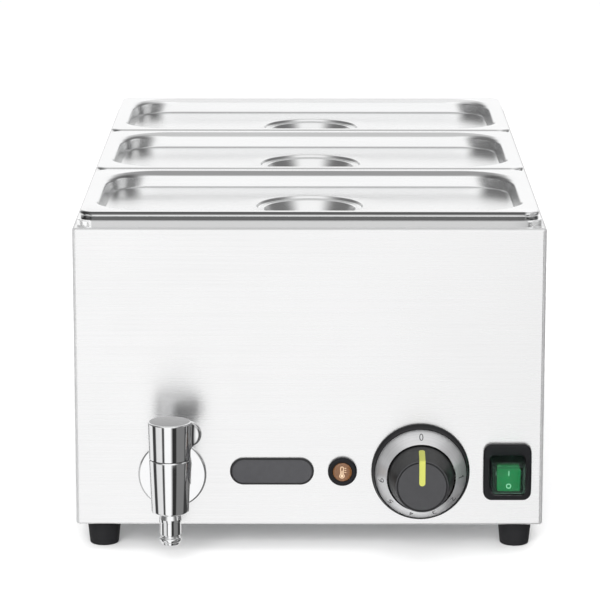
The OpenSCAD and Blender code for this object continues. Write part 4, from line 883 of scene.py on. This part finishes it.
@dataclass
class Tap:
    """Drain tap: rosette, body with its shank, spout and a handle with one wing.

    Args:
        x: Place across the panel.
        reach: Distance of the axis in front of the panel.
        shank_z: Height of the shank.
        shank_r: Radius of the shank.
        bottom_z: Bottom of the body.
        top_z: Top of the body.
        handle_z: Bottom of the handle.
        radius: Radius of body and handle at the slit between them.
        top_r: Radius of the handle at its top.
        bottom_r: Radius of the body at its bottom.
        bore: Radius of the holes through rosette and body.
        seat: Radius of the bonnet's seat in the body.
        socket: Radius of the spout's seat in the body.
        handle_h: Height of the handle.
        bevel: Width of the bevels beside the slit.
        edge: Radius of the handle's upper edge.
        wing: Reach of the wing from the axis.
        wing_root: Half thickness of the wing at the axis.
        wing_tip: Radius of the wing's tip seen from above.
        blend: Width of the hollow between disc and wing.
        crowd: How strongly the handle's points crowd towards the wing.
        spout_l: Length of the spout.
    """

    x: float = -96.5
    reach: float = 37.3
    shank_z: float = 56.4
    shank_r: float = 9.0
    bottom_z: float = 39.5
    top_z: float = 77.6
    handle_z: float = 78.0
    radius: float = 14.4
    top_r: float = 15.1
    bottom_r: float = 13.1
    bore: float = 9.2
    seat: float = 11.1
    socket: float = 7.2
    handle_h: float = 26.3
    bevel: float = 0.3
    edge: float = 1.2
    wing: float = 22.1
    wing_root: float = 3.4
    wing_tip: float = 1.8
    blend: float = 4.0
    crowd: float = 0.75
    spout_l: float = 23.0

    def build(self) -> None:
        """Builds the fixed pieces and the handle."""
        chrome, axis = Finishes.CHROME, upright(self.x, -self.reach, 0)
        shank_axis = on_panel(self.x, self.shank_z)
        low, top, bore = self.bottom_z, self.top_z, self.bore
        disc = path([bore, 0], [24, 0], arc((22.6, 1.4), 1.4, 0, 88, 8), [16.0, 2.95], [bore, 3.1])
        Shell("tap_rosette_disc").add(turned(disc), shank_axis, wrap=True).build(chrome, "tap_rosette")
        body = path(arc((self.bottom_r - 1.4, low + 1.4), 1.4, -90, 0, 6), [self.radius, top - 1.0],
                    [self.radius - self.bevel, top], [self.seat, top], [self.seat, top - 4.0],
                    [bore, top - 4.0], [bore, low + 7.2], [5.0, low + 7.2], [5.0, low + 5.0],
                    [self.socket, low + 5.0], [self.socket, low])
        shank = path(*([self.shank_r, out] for out in (-20.0, 0.0, 20.0, self.reach - 10)))
        barrel = Shell("tap_barrel").add(turned(body), axis, wrap=True)
        barrel.add(turned(shank, 64), shank_axis).build(chrome, "tap_body")
        end = low - self.spout_l
        spout = path([4.5, low + 4.8], [7.1, low + 4.8], arc((8.1, low - 1.5), 1.0, 180, 205, 3),
                     arc((7.3, low - 4.8), 0.5, 25, 0, 2), arc((7.5, low - 6.6), 0.3, 0, -80, 3),
                     [7.5, low - 7.2], arc((7.0, end + 7.5), 0.5, 0, -60, 3), [6.2, end + 6.4],
                     [6.2, end + 5.7], arc((5.7, end + 3.4), 2.0, 65, -65, 10),
                     arc((5.9, end + 0.4), 0.4, 0, -90, 3), [4.5, end])
        Shell("tap_spout").add(turned(spout, 72), axis, wrap=True).build(chrome, "tap_nozzle")
        self.handle().build(chrome, "tap_handle", body=Body.TAP_LEVER.value)

    def side(self) -> Array:
        """Side view of the wing as (reach, rising height): a line out to a nose that sweeps back."""
        return path([self.radius - 5.8, 4.2], arc((self.wing - 9, self.handle_h - 9), 9.0, -52, 90, 36))

    def handle(self) -> Shell:
        """Handle whose section at each height is a disc with a tapered plate that ends in a round tip.

        In direction a the section's radius is the farther of the disc and the plate, plus a hollow where
        both are close. The plate's edge is the line that touches a circle round the axis and the tip's
        circle, and then that circle. Points crowd towards the wing.

        Returns:
            The handle's shell.
        """
        u = np.linspace(-math.pi, math.pi, 192, endpoint=False)
        way = u - self.crowd * np.sin(u)
        a = np.abs(way)
        top = self.handle_h
        edge = arc((0, top - self.edge), self.edge, 8, 90, 6)
        h = np.concatenate([[0.0, self.bevel], np.linspace(0.8, 4.0, 5),
                            np.linspace(4.3, top - self.edge, 52), edge[:, 1]])
        trim = np.concatenate([[self.bevel], np.zeros(len(h) - 1 - len(edge)), self.edge - edge[:, 0]])
        line = self.side()
        root, tip = self.wing_root, self.wing_tip
        r = (self.radius + (self.top_r - self.radius) * h / top)[:, None]
        reach = np.interp(h, line[:, 1], line[:, 0], left=0.0, right=0.0)[:, None]
        centre = np.maximum(reach - tip, root)
        lean = np.arccos((root - tip) / centre)
        start = np.arctan2(tip * np.sin(lean), centre + tip * np.cos(lean))
        touching = root / np.cos(np.minimum(np.abs(a - lean), 1.5))
        inside = np.maximum(tip**2 - (centre * np.sin(a)) ** 2, 0)
        round_tip = centre * np.cos(a) + np.sqrt(inside)
        plate = np.where(a < start, round_tip, np.where(a < lean, touching, root))
        hollow = np.maximum(self.blend - np.abs(plate - r), 0) ** 2 / (4 * self.blend)
        section = np.maximum(plate, r) + hollow - trim[:, None]
        rings = np.stack([section * np.cos(way), section * np.sin(way),
                          np.broadcast_to(h[:, None], section.shape)], axis=-1)
        # Painted shade: the flat top of the handle is darkened.
        tone = np.where(h >= top - 1e-6, 1.0, 0.0)
        return Shell("tap_lever_handle").add(rings, upright(self.x, -self.reach, self.handle_z), tone=tone)


# Controls


@dataclass
class Control:
    """Anything in the row of controls on the front panel.

    Args:
        x: Place across the panel.
        z: Height.
    """

    x: float = 0.0
    z: float = CONTROLS_Z

    @property
    def here(self) -> Mapper:
        """Mapping of local points to the control's place."""
        return on_panel(self.x, self.z)


@dataclass
class Badge(Control):
    """Bare badge with round ends and a raised rim.

    Args:
        length: Size across.
        height: Size upwards.
        thick: Height above the panel.
        sunk: Depth of the face's edge below the rim.
        swell: Height that the face gains towards its middle.
    """

    x: float = -26.3
    length: float = 59.2
    height: float = 19.4
    thick: float = 1.6
    sunk: float = 0.42
    swell: float = 0.25

    def build(self) -> bpy.types.Object:
        """One surface: flat back, rounded rim, and a face that sits lower and swells towards the middle.

        Returns:
            The badge.
        """
        t = self.thick
        side = path([0, 0.0], arc((-0.5, t - 0.5), 0.5, 0, 90, 5), arc((-1.0, t - 0.3), 0.3, 90, 180, 4),
                    [-1.5, t - self.sunk])
        rows = loops(side, self.length / 2, self.height / 2, self.height / 2)
        share = np.linspace(0.95, 0.02, 8)
        face = shrunk(rows[-1], share, t - self.sunk + self.swell * (1 - share**2))
        rings = LoopGrid(16, 16, 2).rings(np.vstack([rows, face]))
        tone = np.where(np.arange(len(rings)) < len(rows) - 1, 1.0, 0.0)
        return Shell("badge_plate").add(rings, self.here, tone=tone).build(Finishes.BADGE, "badge")


@dataclass
class Lamp(Control):
    """Pilot lamp: black bezel and amber lens with a thermometer symbol.

    Args:
        radius: Radius of the bezel.
        lens_r: Radius of the lens.
        height: Height of the bezel above the panel.
        symbol_size: Scale of the symbol.
        symbol_at: Place of the symbol on the lens, and its height above the bezel.
    """

    x: float = 23.4
    radius: float = 10.25
    lens_r: float = 6.7
    height: float = 3.6
    symbol_size: float = 1.25
    symbol_at: Triple = (-0.3, -0.5, 0.32)

    def build(self) -> None:
        """Builds bezel, lens and symbol."""
        h, r = self.height, self.lens_r
        ring = path([r + 0.1, 0], [self.radius, 0], arc((self.radius - 1.5, h - 1.5), 1.5, 0, 100, 10),
                    arc((r + 0.7, h - 0.9), 0.6, 70, 180, 6))
        Shell("lamp_bezel_ring").add(turned(ring), self.here, wrap=True).build(
            Finishes.BLACK, "lamp_bezel")
        a = np.linspace(0.15, 1.5, 10)
        dome = path([r, 1.0], [r, h - 0.6], arc((r - 0.5, h - 0.6), 0.5, 20, 70, 4),
                    np.column_stack([(r - 0.5) * np.cos(a), h - 0.15 + 0.5 * np.sin(a)]))
        Shell("lamp_lens_dome").add(turned(dome, 64), self.here).build(Finishes.AMBER, "lamp_lens")
        self.symbol().build(Marks.SYMBOL)

    def symbol(self) -> Shell:
        """Thermometer: outline, bulb, fluid and three scale marks as thin raised strips.

        Returns:
            The symbol's shell.
        """
        stem = path(arc((0, 2.9), 0.75, 0, 180, 8), arc((0, -1.6), 1.3, 125, 415, 18))
        bulb = turned(path([0.75, -0.2], [0.75, 0.08], [0.3, 0.1]), 20) + np.array([0, -1.6, 0])
        fluid = ribbon(path([0, -1.4], [0, 0.0], [0, 1.4]), 0.5, 0.08, 0.2)
        marks = [ribbon(path([1.3, y], [1.8, y], [2.4, y]), 0.35, 0.05, 0.3) for y in (0.4, 1.6, 2.8)]
        scale = np.array([self.symbol_size, self.symbol_size, 1.0])
        shift = np.array(self.symbol_at) + np.array([0, 0, self.height])
        shell = Shell("lamp_symbol")
        for part in [ribbon(path(stem, stem[0]), 0.4, 0.06, 0.25), bulb, fluid, *marks]:
            shell.add(part * scale + shift, self.here)
        return shell


# Strokes of the dial's numbers 0 to 6 in a box of unit height, from -0.5 to 0.5.
DIGITS = (
    [arc((0, 0), 1.0, 90, -270, 28) * [0.24, 0.5]],
    [path([-0.18, 0.3], [-0.05, 0.38], [0.04, 0.5]), path([0.04, 0.5], [0.04, 0.0], [0.04, -0.5])],
    [path(arc((0, 0.24), 0.24, 165, -40, 12), [-0.02, -0.2], [-0.25, -0.5]),
     path([-0.27, -0.48], [0.0, -0.48], [0.27, -0.48])],
    [arc((-0.02, 0.26), 0.23, 150, -80, 12), arc((-0.02, -0.24), 0.26, 80, -150, 14)],
    [path([0.1, -0.5], [0.1, 0.0], [0.1, 0.5]), path([0.1, 0.5], [-0.1, 0.15], [-0.28, -0.18]),
     path([-0.28, -0.2], [0.0, -0.2], [0.28, -0.2])],
    [path([0.22, 0.48], [0.0, 0.48], [-0.18, 0.48]), path([-0.18, 0.48], [-0.2, 0.25], [-0.22, 0.04]),
     arc((-0.02, -0.19), 0.28, 130, -145, 16)],
    [arc((0, -0.24), 0.26, 0, 360, 22), arc((0.5, -0.1), 0.76, 180, 128, 10)],
)


@dataclass
class Dial(Control):
    """Thermostat dial: black moulding, conical silver ring with numbers, knob and pointer.

    Args:
        outer_r: Radius of the moulding.
        ring: Radius and height at the foot and at the top of the ring.
        knob_r: Radius of the knob's foot.
        knob_foot: Height of the knob's foot.
        face_r: Radius of the knob's face.
        knob_h: Height of the knob's face.
        knob_edge: Radius of the face's edge.
        pointer_w: Width of the pointer.
        pointer: Where the pointer starts on the face, its height above the knob and its thickness.
        pointer_low: Lower end of the pointer, as a share of the height from foot to face.
        digit: Width and height of a number along the cone.
        stroke: Width, height and sunk depth of a number's stroke.
        angles: Directions of the numbers, clockwise from the top.
    """

    x: float = DIAL_X
    outer_r: float = 34.65
    ring: tuple[Span, Span] = ((32.1, 7.6), (24.2, 18.6))
    knob_r: float = 23.6
    knob_foot: float = 16.6
    face_r: float = 18.5
    knob_h: float = 41.0
    knob_edge: float = 0.6
    pointer_w: float = 4.2
    pointer: Triple = (0.5, 0.3, 1.3)
    pointer_low: float = 0.35
    digit: Span = (4.64, 5.8)
    stroke: Triple = (0.55, 0.1, 0.1)
    angles: tuple[float, ...] = (0.0, 91.0, 126.0, 160.0, 194.0, 229.0, 264.0)

    def build(self) -> None:
        """Builds the fixed moulding and ring, then the numbers, the knob and its pointer."""
        (r0, h0), (r1, h1) = self.ring
        rim = self.outer_r
        base = path([rim - 1.8, 0], [rim, 0], arc((rim - 0.8, 1.8), 0.8, 0, 45, 4),
                    arc((r0 + 0.5, h0 + 0.1), 0.4, 45, 180, 6), [r0 + 0.1, h0 - 0.7], [r1, h1 - 0.7],
                    [r1, h1 - 2.4], [r0 - 1.8, h0 - 1.5])
        Shell("dial_moulding").add(turned(base, 128), self.here, wrap=True).build(
            Finishes.BLACK, "dial_bezel")
        cone = path([r0, h0 - 0.55], [r0, h0], [r1, h1], [r1, h1 - 0.6])
        Shell("dial_cone").add(turned(cone, 160), self.here, wrap=True).build(
            Finishes.SILVER, "dial_ring")
        numbers = Shell("dial_numbers")
        for angle, strokes in zip(self.angles, DIGITS):
            for line in strokes:
                numbers.add(ribbon(line * self.digit, *self.stroke), self.on_cone(angle))
        numbers.build(Marks.INK)
        self.knob()
        self.dress()

    def on_cone(self, angle: float) -> Mapper:
        """Mapping of a flat mark to the cone: across turns round the axis, up runs along the slope.

        Args:
            angle: Direction of the mark, clockwise from the top.

        Returns:
            The mapping.
        """
        (r0, h0), (r1, h1) = self.ring
        out = np.array([r0 - r1, h0 - h1]) / math.hypot(r0 - r1, h1 - h0)
        normal = np.array([-out[1], out[0]])
        mid = np.array([(r0 + r1) / 2, (h0 + h1) / 2])

        def mapped(p: Array) -> Array:
            """Places points of (across, up, height) on the cone.

            Args:
                p: The points.

            Returns:
                The same points in the frame.
            """
            flat = mid + p[..., 1:2] * out + p[..., 2:3] * normal
            r, h = flat[..., 0], flat[..., 1]
            turn = math.radians(angle) + p[..., 0] / r
            return self.here(np.stack([r * np.sin(turn), r * np.cos(turn), h], axis=-1))

        return mapped

    def knob(self) -> None:
        """Builds the knob: a cone with a rounded edge and a groove round its face; painted shade darkens the
        cone's side and the groove.
        """
        f, h, e, foot = self.face_r, self.knob_h, self.knob_edge, self.knob_r - 0.3
        side = path([foot, self.knob_foot], arc((foot, self.knob_foot + 0.3), 0.3, 0, 20, 2),
                    arc((f - e, h - e), e, 12, 90, 8), [f - 0.75, h], [f - 0.9, h - 0.8],
                    [f - 1.5, h - 0.8], [f - 1.8, h - 0.1], [f - 12, h - 0.1])
        tone = np.zeros(len(side))
        # Painted shade: the cone's side and the groove round the face are darkened.
        cone, groove = slice(0, 5), slice(14, 16)
        tone[cone] = tone[groove] = 1.0
        Shell("knob_cone").add(turned(side, 128), self.here, tone=tone).build(
            Finishes.KNOB, "knob", body=Body.KNOB.value)

    def dress(self) -> None:
        """Builds the pointer: a strip with round ends that bends from the knob's face down its side."""
        f, h, e, half = self.face_r, self.knob_h, self.knob_edge, self.pointer_w / 2
        start, proud, thick = self.pointer
        low = self.pointer_low * h + (1 - self.pointer_low) * self.knob_foot
        foot = self.knob_r + (f - self.knob_r) * (low - self.knob_foot) / (h - e - self.knob_foot)
        bend = path([start, h + proud], arc((f - e, h - e), e + proud, 90, 12, 12), [foot + proud, low])
        run = np.concatenate([[0.0], np.cumsum(np.linalg.norm(np.diff(bend, axis=0), axis=1))])
        along = run[-1] * (1 - np.cos(np.linspace(0, math.pi, 60))) / 2
        line = np.column_stack([np.interp(along, run, bend[:, k]) for k in (0, 1)])
        near = np.minimum(np.minimum(along, run[-1] - along), half)
        width = half * np.sqrt(np.clip(1 - (1 - near / half) ** 2, 0.004, 1))
        ahead = unit(np.gradient(line, axis=0))
        inner = line + thick * np.column_stack([ahead[:, 1], -ahead[:, 0]])
        corner = [(-1, inner), (1, inner), (1, line), (-1, line)]
        rings = np.stack([np.column_stack([s * width, q[:, 0], q[:, 1]]) for s, q in corner], axis=1)
        Shell("knob_pointer_strip").add(rings, self.here).build(
            Finishes.POINTER, "knob_pointer", body=Body.KNOB.value)


@dataclass
class Switch(Control):
    """Mains switch: black frame, clear cap and green rocker with I and O.

    Args:
        frame: Width, height, thickness and corner radius of the frame.
        waist: Share by which the frame narrows towards its upper and lower end.
        cap: Width, height, reach, wall and corner radius of the cap.
        ledge: Half the width between the frame's ledges, on which the cap stands.
        rocker: Width, height and reach of the rocker.
        hollow: Depth of the rocker's hollow face.
        hub: Radius of the rocker's hub.
        pivot: Reach of the rocker's axis.
        lean: Lean of the rocker in degrees, lower half pressed in.
        stroke: Width, height and sunk depth of the marks.
    """

    x: float = 139.6
    frame: tuple[float, float, float, float] = (34.0, 40.7, 4.0, 5.6)
    waist: float = 0.035
    cap: tuple[float, float, float, float, float] = (24.5, 24.7, 22.0, 1.0, 3.0)
    ledge: float = 10.9
    rocker: Triple = (16.4, 17.0, 18.6)
    hollow: float = 0.45
    hub: float = 2.6
    pivot: float = 6.0
    lean: float = 6.0
    stroke: Triple = (0.6, 0.06, 0.5)

    def build(self) -> None:
        """Builds frame, cap, rocker and marks."""
        grid = LoopGrid(10, 10, 10)
        w, h, t, r = self.frame
        cw, ch, reach, wall, cr = self.cap
        outer = path([0, 0], [0, t - 1.6], arc((-1.4, t - 1.4), 1.4, 0, 90, 8))
        rows = loops(outer, w / 2, h / 2, r)
        hole = path([cw / 2 + 0.5, ch / 2 + 0.5, cr + 0.5, t], [cw / 2 + 0.1, ch / 2 + 0.1, cr, t - 0.4],
                    [cw / 2 + 0.1, ch / 2 + 0.1, cr, t - 1.5], [self.ledge, ch / 2, 0.5, t - 1.55],
                    [self.ledge, ch / 2, 0.5, 0.0])
        rings = grid.rings(np.vstack([rows, hole]))
        outside = rings[:len(rows)]
        outside[..., 0] *= 1 - self.waist * (outside[..., 1] / (h / 2)) ** 4
        Shell("switch_frame_rim").add(rings, self.here, wrap=True).build(
            Finishes.BLACK, "switch_frame")
        skin = path([0, t - 1.4], [-0.2, t + 4], [-0.4, reach - 3], arc((-2.4, reach - 2), 2.0, 0, 80, 8))
        inside = path([-wall, t - 1.4], [-wall - 0.2, t + 4], [-wall - 0.4, reach - 3],
                      arc((-2.6 - wall, reach - 2 - wall), 2.0, 0, 80, 8))
        rows = loops(path(inside[::-1], skin), cw / 2, ch / 2, cr + 0.4)
        rows[:, 2] = np.maximum(rows[:, 2], 0.4)
        Shell("switch_clear_cap").add(grid.rings(rows), self.here).build(Finishes.CAP, "switch_cap")
        self.dress()

    def leaning(self) -> Mapper:
        """Mapping of points round the rocker's axis, leant about it.

        Returns:
            The mapping.
        """
        c, s = math.cos(math.radians(self.lean)), math.sin(math.radians(self.lean))
        turn = np.array([[1, 0, 0], [0, c, -s], [0, s, c]])
        return lambda p: self.here(p @ turn.T + np.array([0, 0, self.pivot]))

    def dip(self, up: Array) -> Array:
        """Depth of the rocker's face, falling with the square of the distance from its middle."""
        return self.hollow * (1 - (up / (self.rocker[1] / 2)) ** 2)

    def dress(self) -> None:
        """Builds the rocker with a hollow face, its hub and the two marks."""
        w, h, reach = self.rocker
        top, place = reach - self.pivot, self.leaning()
        side = path([-0.6, 2.7], [0, 3.2], [0, top - 0.8], arc((-0.8, top - 0.8), 0.8, 20, 90, 5))
        rows = loops(side, w / 2, h / 2, 1.4)
        rows[:, 2] = np.maximum(rows[:, 2], 0.5)
        face = shrunk(rows[-1], np.linspace(0.9, 0.05, 7), top)
        rings = LoopGrid(6, 8, 8).rings(np.vstack([rows, face]))
        rings[len(rows):, :, 2] -= self.dip(rings[len(rows):, :, 1])
        end = w / 2 - 0.2
        hub = turned(path([self.hub, -end], [self.hub, 0.0], [self.hub, end]), 32)[..., [2, 0, 1]]
        Shell("rocker_green_button").add(rings, place).add(hub, place).build(
            Finishes.GREEN, "rocker", body=Body.ROCKER.value)
        marks = Shell("rocker_marks")
        for line in (path([0, 3.2], [0, 5.0], [0, 6.8]), arc((0, -4.6), 1.5, 0, 360, 32)):
            strip = ribbon(line, *self.stroke)
            strip[..., 2] += (top - self.dip(line[:, 1]))[:, None]
            marks.add(strip, place)
        marks.build(Marks.PALE, body=Body.ROCKER.value)


@dataclass
class Foot:
    """Round tapered rubber foot with a screw pocket.

    Args:
        name: Node of the frame.
        side: -1 for the left side, 1 for the right side.
        depth: Depth behind the front panel.
        across: Distance from the middle of the casing.
        top_r: Radius under the casing.
        base_r: Radius on the worktop.
        height: Height up to the base plate.
        pocket: Radius and height of the screw's pocket.
        screw_r: Radius of the screw's hole.
    """

    name: str
    side: int
    depth: float
    across: float = 146.5
    top_r: float = 12.15
    base_r: float = 10.35
    height: float = 20.0
    pocket: Span = (4.5, 10.0)
    screw_r: float = 2.1

    def build(self) -> bpy.types.Object:
        """Turned section: pocket, rounded sole, tapered side and flat top.

        Returns:
            The foot.
        """
        r, up = self.pocket
        section = path([r, 0], arc((self.base_r - 1.4, 1.4), 1.4, -90, -5, 6), [self.top_r, self.height - 1.2],
                       [self.top_r, self.height], [self.screw_r, self.height], [self.screw_r, up], [r, up])
        shell = Shell(f"{self.name}_rubber")
        shell.add(turned(section, 64), upright(self.side * self.across, self.depth, 0), wrap=True)
        return shell.build(Finishes.RUBBER, self.name)


@dataclass
class Carried:
    """Nodes of the frame that keep their own shape and only take a finish."""

    def dress(self) -> None:
        """Gives each shown node the finish of its material slot."""
        finishes = {f.value.slot: f.value for f in Finishes}
        slots = {s["node"]: s["material_slot"] for s in frame["record"]["subparts"]}
        for name, node in frame["nodes"].items():
            if node.hide_render:
                continue
            node.data.materials.clear()
            node.data.materials.append(finishes[slots[name]].material())
            log.info("%s: carried over as %s", name, slots[name])


# Studio


@dataclass
class Studio:
    """White floor, soft surroundings, lights and camera.

    Places are in metres. Of the surroundings, heights and distances sideways are those of a unit direction.

    Args:
        camera: Place of the camera.
        pitch: Tilt of the camera below the level, in degrees.
        yaw: Turn of the camera to the left, in degrees.
        lens: Focal length for a 36 mm sensor, in mm.
        stands: Angle to the right of the front and brightness of the stands that metal sees.
        horizon: Heights between which the stands give way to the walls.
        sides: Brightness of the side walls, and how far sideways they start and are full.
        window: The same for the window in the right wall, which adds to it.
        ceiling: Brightness of the ceiling, and the heights where it starts and is full.
        ceiling_tilt: How much lower the ceiling starts towards the back.
        target: Point that the lights look at.
        floor_half: Half the side of the floor.
    """

    camera: Triple = (0.00505, -2.4137, 0.6576)
    pitch: float = 12.397
    yaw: float = 0.306
    lens: float = 190.68
    stands: tuple[Span, ...] = (
        (-180, 0.85), (-104, 0.85), (-98, 0.05), (-80, 0.05), (-74, 0.75), (-42, 0.8), (-37, 0.06),
        (-29, 0.06), (-24, 1.0), (7, 1.0), (19, 0.03), (37, 0.03), (42, 0.2), (88, 0.2), (96, 0.04),
        (130, 0.06), (140, 0.85))
    horizon: Span = (-0.05, 0.08)
    sides: Triple = (0.16, 0.33, 0.85)
    window: Triple = (0.55, 0.92, 0.98)
    ceiling: Triple = (0.58, 0.62, 0.74)
    ceiling_tilt: float = 0.15
    target: Triple = (0.0, 0.0, 0.1)
    floor_half: float = 9.0

    def build(self) -> None:
        """Builds all of it and sets the view."""
        self.floor()
        self.surroundings()
        self.light("key", (-0.3, -2.6, 1.0), size=1.8, power=90.0)
        self.light("top", (0.2, 0.2, 2.4), size=2.4, power=20.0)
        data = bpy.data.cameras.new("camera")
        data.lens = self.lens
        camera = bpy.data.objects.new("camera", data)
        camera.location = self.camera
        camera.rotation_euler = (math.radians(90 - self.pitch), 0, math.radians(self.yaw))
        scene = bpy.context.scene
        scene.collection.objects.link(camera)
        scene.camera = camera
        scene.view_settings.view_transform = "Standard"
        log.info("studio: camera at %s", self.camera)

    def floor(self) -> None:
        """Builds the pale floor as one flat grid."""
        side = np.linspace(-self.floor_half, self.floor_half, 4)
        x, y = np.meshgrid(side, side)
        points = np.column_stack([x.ravel(), y.ravel(), np.zeros(x.size)])
        index = np.arange(x.size).reshape(x.shape)
        corners = [index[:-1, :-1], index[:-1, 1:], index[1:, 1:], index[1:, :-1]]
        mesh = bpy.data.meshes.new("floor")
        mesh.from_pydata(points.tolist(), [], np.stack(corners, axis=-1).reshape(-1, 4).tolist())
        mesh.materials.append(Marks.FLOOR.value.material())
        floor = bpy.data.objects.new("floor", mesh)
        bpy.context.scene.collection.objects.link(floor)
        floor.visible_glossy = False

    def surroundings(self) -> None:
        """White all round for the camera and for matt surfaces.

        Metal sees a studio with dark and pale stands below the level of the object, dark side walls
        above them with a window on the right, white in front and behind, and a grey ceiling.
        """
        world = bpy.data.worlds.new("studio")
        world.use_nodes = True
        bpy.context.scene.world = world
        graph = Graph(world.node_tree)
        x, y, z = graph.axes(graph.node("TexCoord").outputs["Generated"])
        turn = graph.math("ARCTAN2", x, graph.times(y, -1.0))
        ramp = graph.node("ValToRGB", Fac=graph.math("ADD", graph.times(turn, 0.5 / math.pi), 0.5))
        band = ramp.color_ramp
        while len(band.elements) < len(self.stands):
            band.elements.new(0.5)
        for element, (angle, level) in zip(band.elements, self.stands):
            element.position = angle / 360 + 0.5
            element.color = (level, level, level, 1.0)
        sides = graph.spread(graph.math("ABSOLUTE", x), 1.0, *self.sides)
        walls = graph.math("ADD", sides, graph.spread(x, 0.0, *self.window))
        level = graph.mix(graph.spread(z, 0, 1, *self.horizon), ramp.outputs["Color"], walls)
        high = graph.math("ADD", z, graph.times(y, self.ceiling_tilt))
        seen = graph.times(level, graph.spread(high, 1.0, *self.ceiling))
        glossy = graph.node("LightPath").outputs["Is Glossy Ray"]
        shader = graph.node("Background", Color=graph.mix(glossy, 1.0, seen), Strength=1.0)
        graph.node("OutputWorld", Surface=shader.outputs[0])

    def light(self, name: str, place: Triple, size: float, power: float) -> None:
        """Adds a square soft light that looks at the target.

        Args:
            name: Name of the light.
            place: Place of the light.
            size: Side of the square.
            power: Power in watts.
        """
        data = bpy.data.lights.new(name, "AREA")
        data.size = size
        data.energy = power
        lamp = bpy.data.objects.new(name, data)
        lamp.location = place
        lamp.visible_glossy = False
        x, y, z = np.array(place) - np.array(self.target)
        lamp.rotation_euler = (math.atan2(math.hypot(x, y), z), 0, math.atan2(x, -y))
        bpy.context.scene.collection.objects.link(lamp)


def main() -> None:
    """Builds every sub-assembly in order."""
    logging.basicConfig(level=logging.INFO, format="%(message)s")
    for place in Place:
        FoodPan(place).build()
        lid = Lid(place)
        lid.build()
        lid.dress()
    for part in (Tap(), Badge(), Lamp(), Dial(), Switch()):
        part.build()
    for row, depth in (("front", 22.0), ("rear", 513.0)):
        for word, side in (("left", -1), ("right", 1)):
            Foot(f"foot_{row}_{word}", side, depth).build()
    Carried().dress()
    Studio().build()


if __name__ == "__main__":
    main()
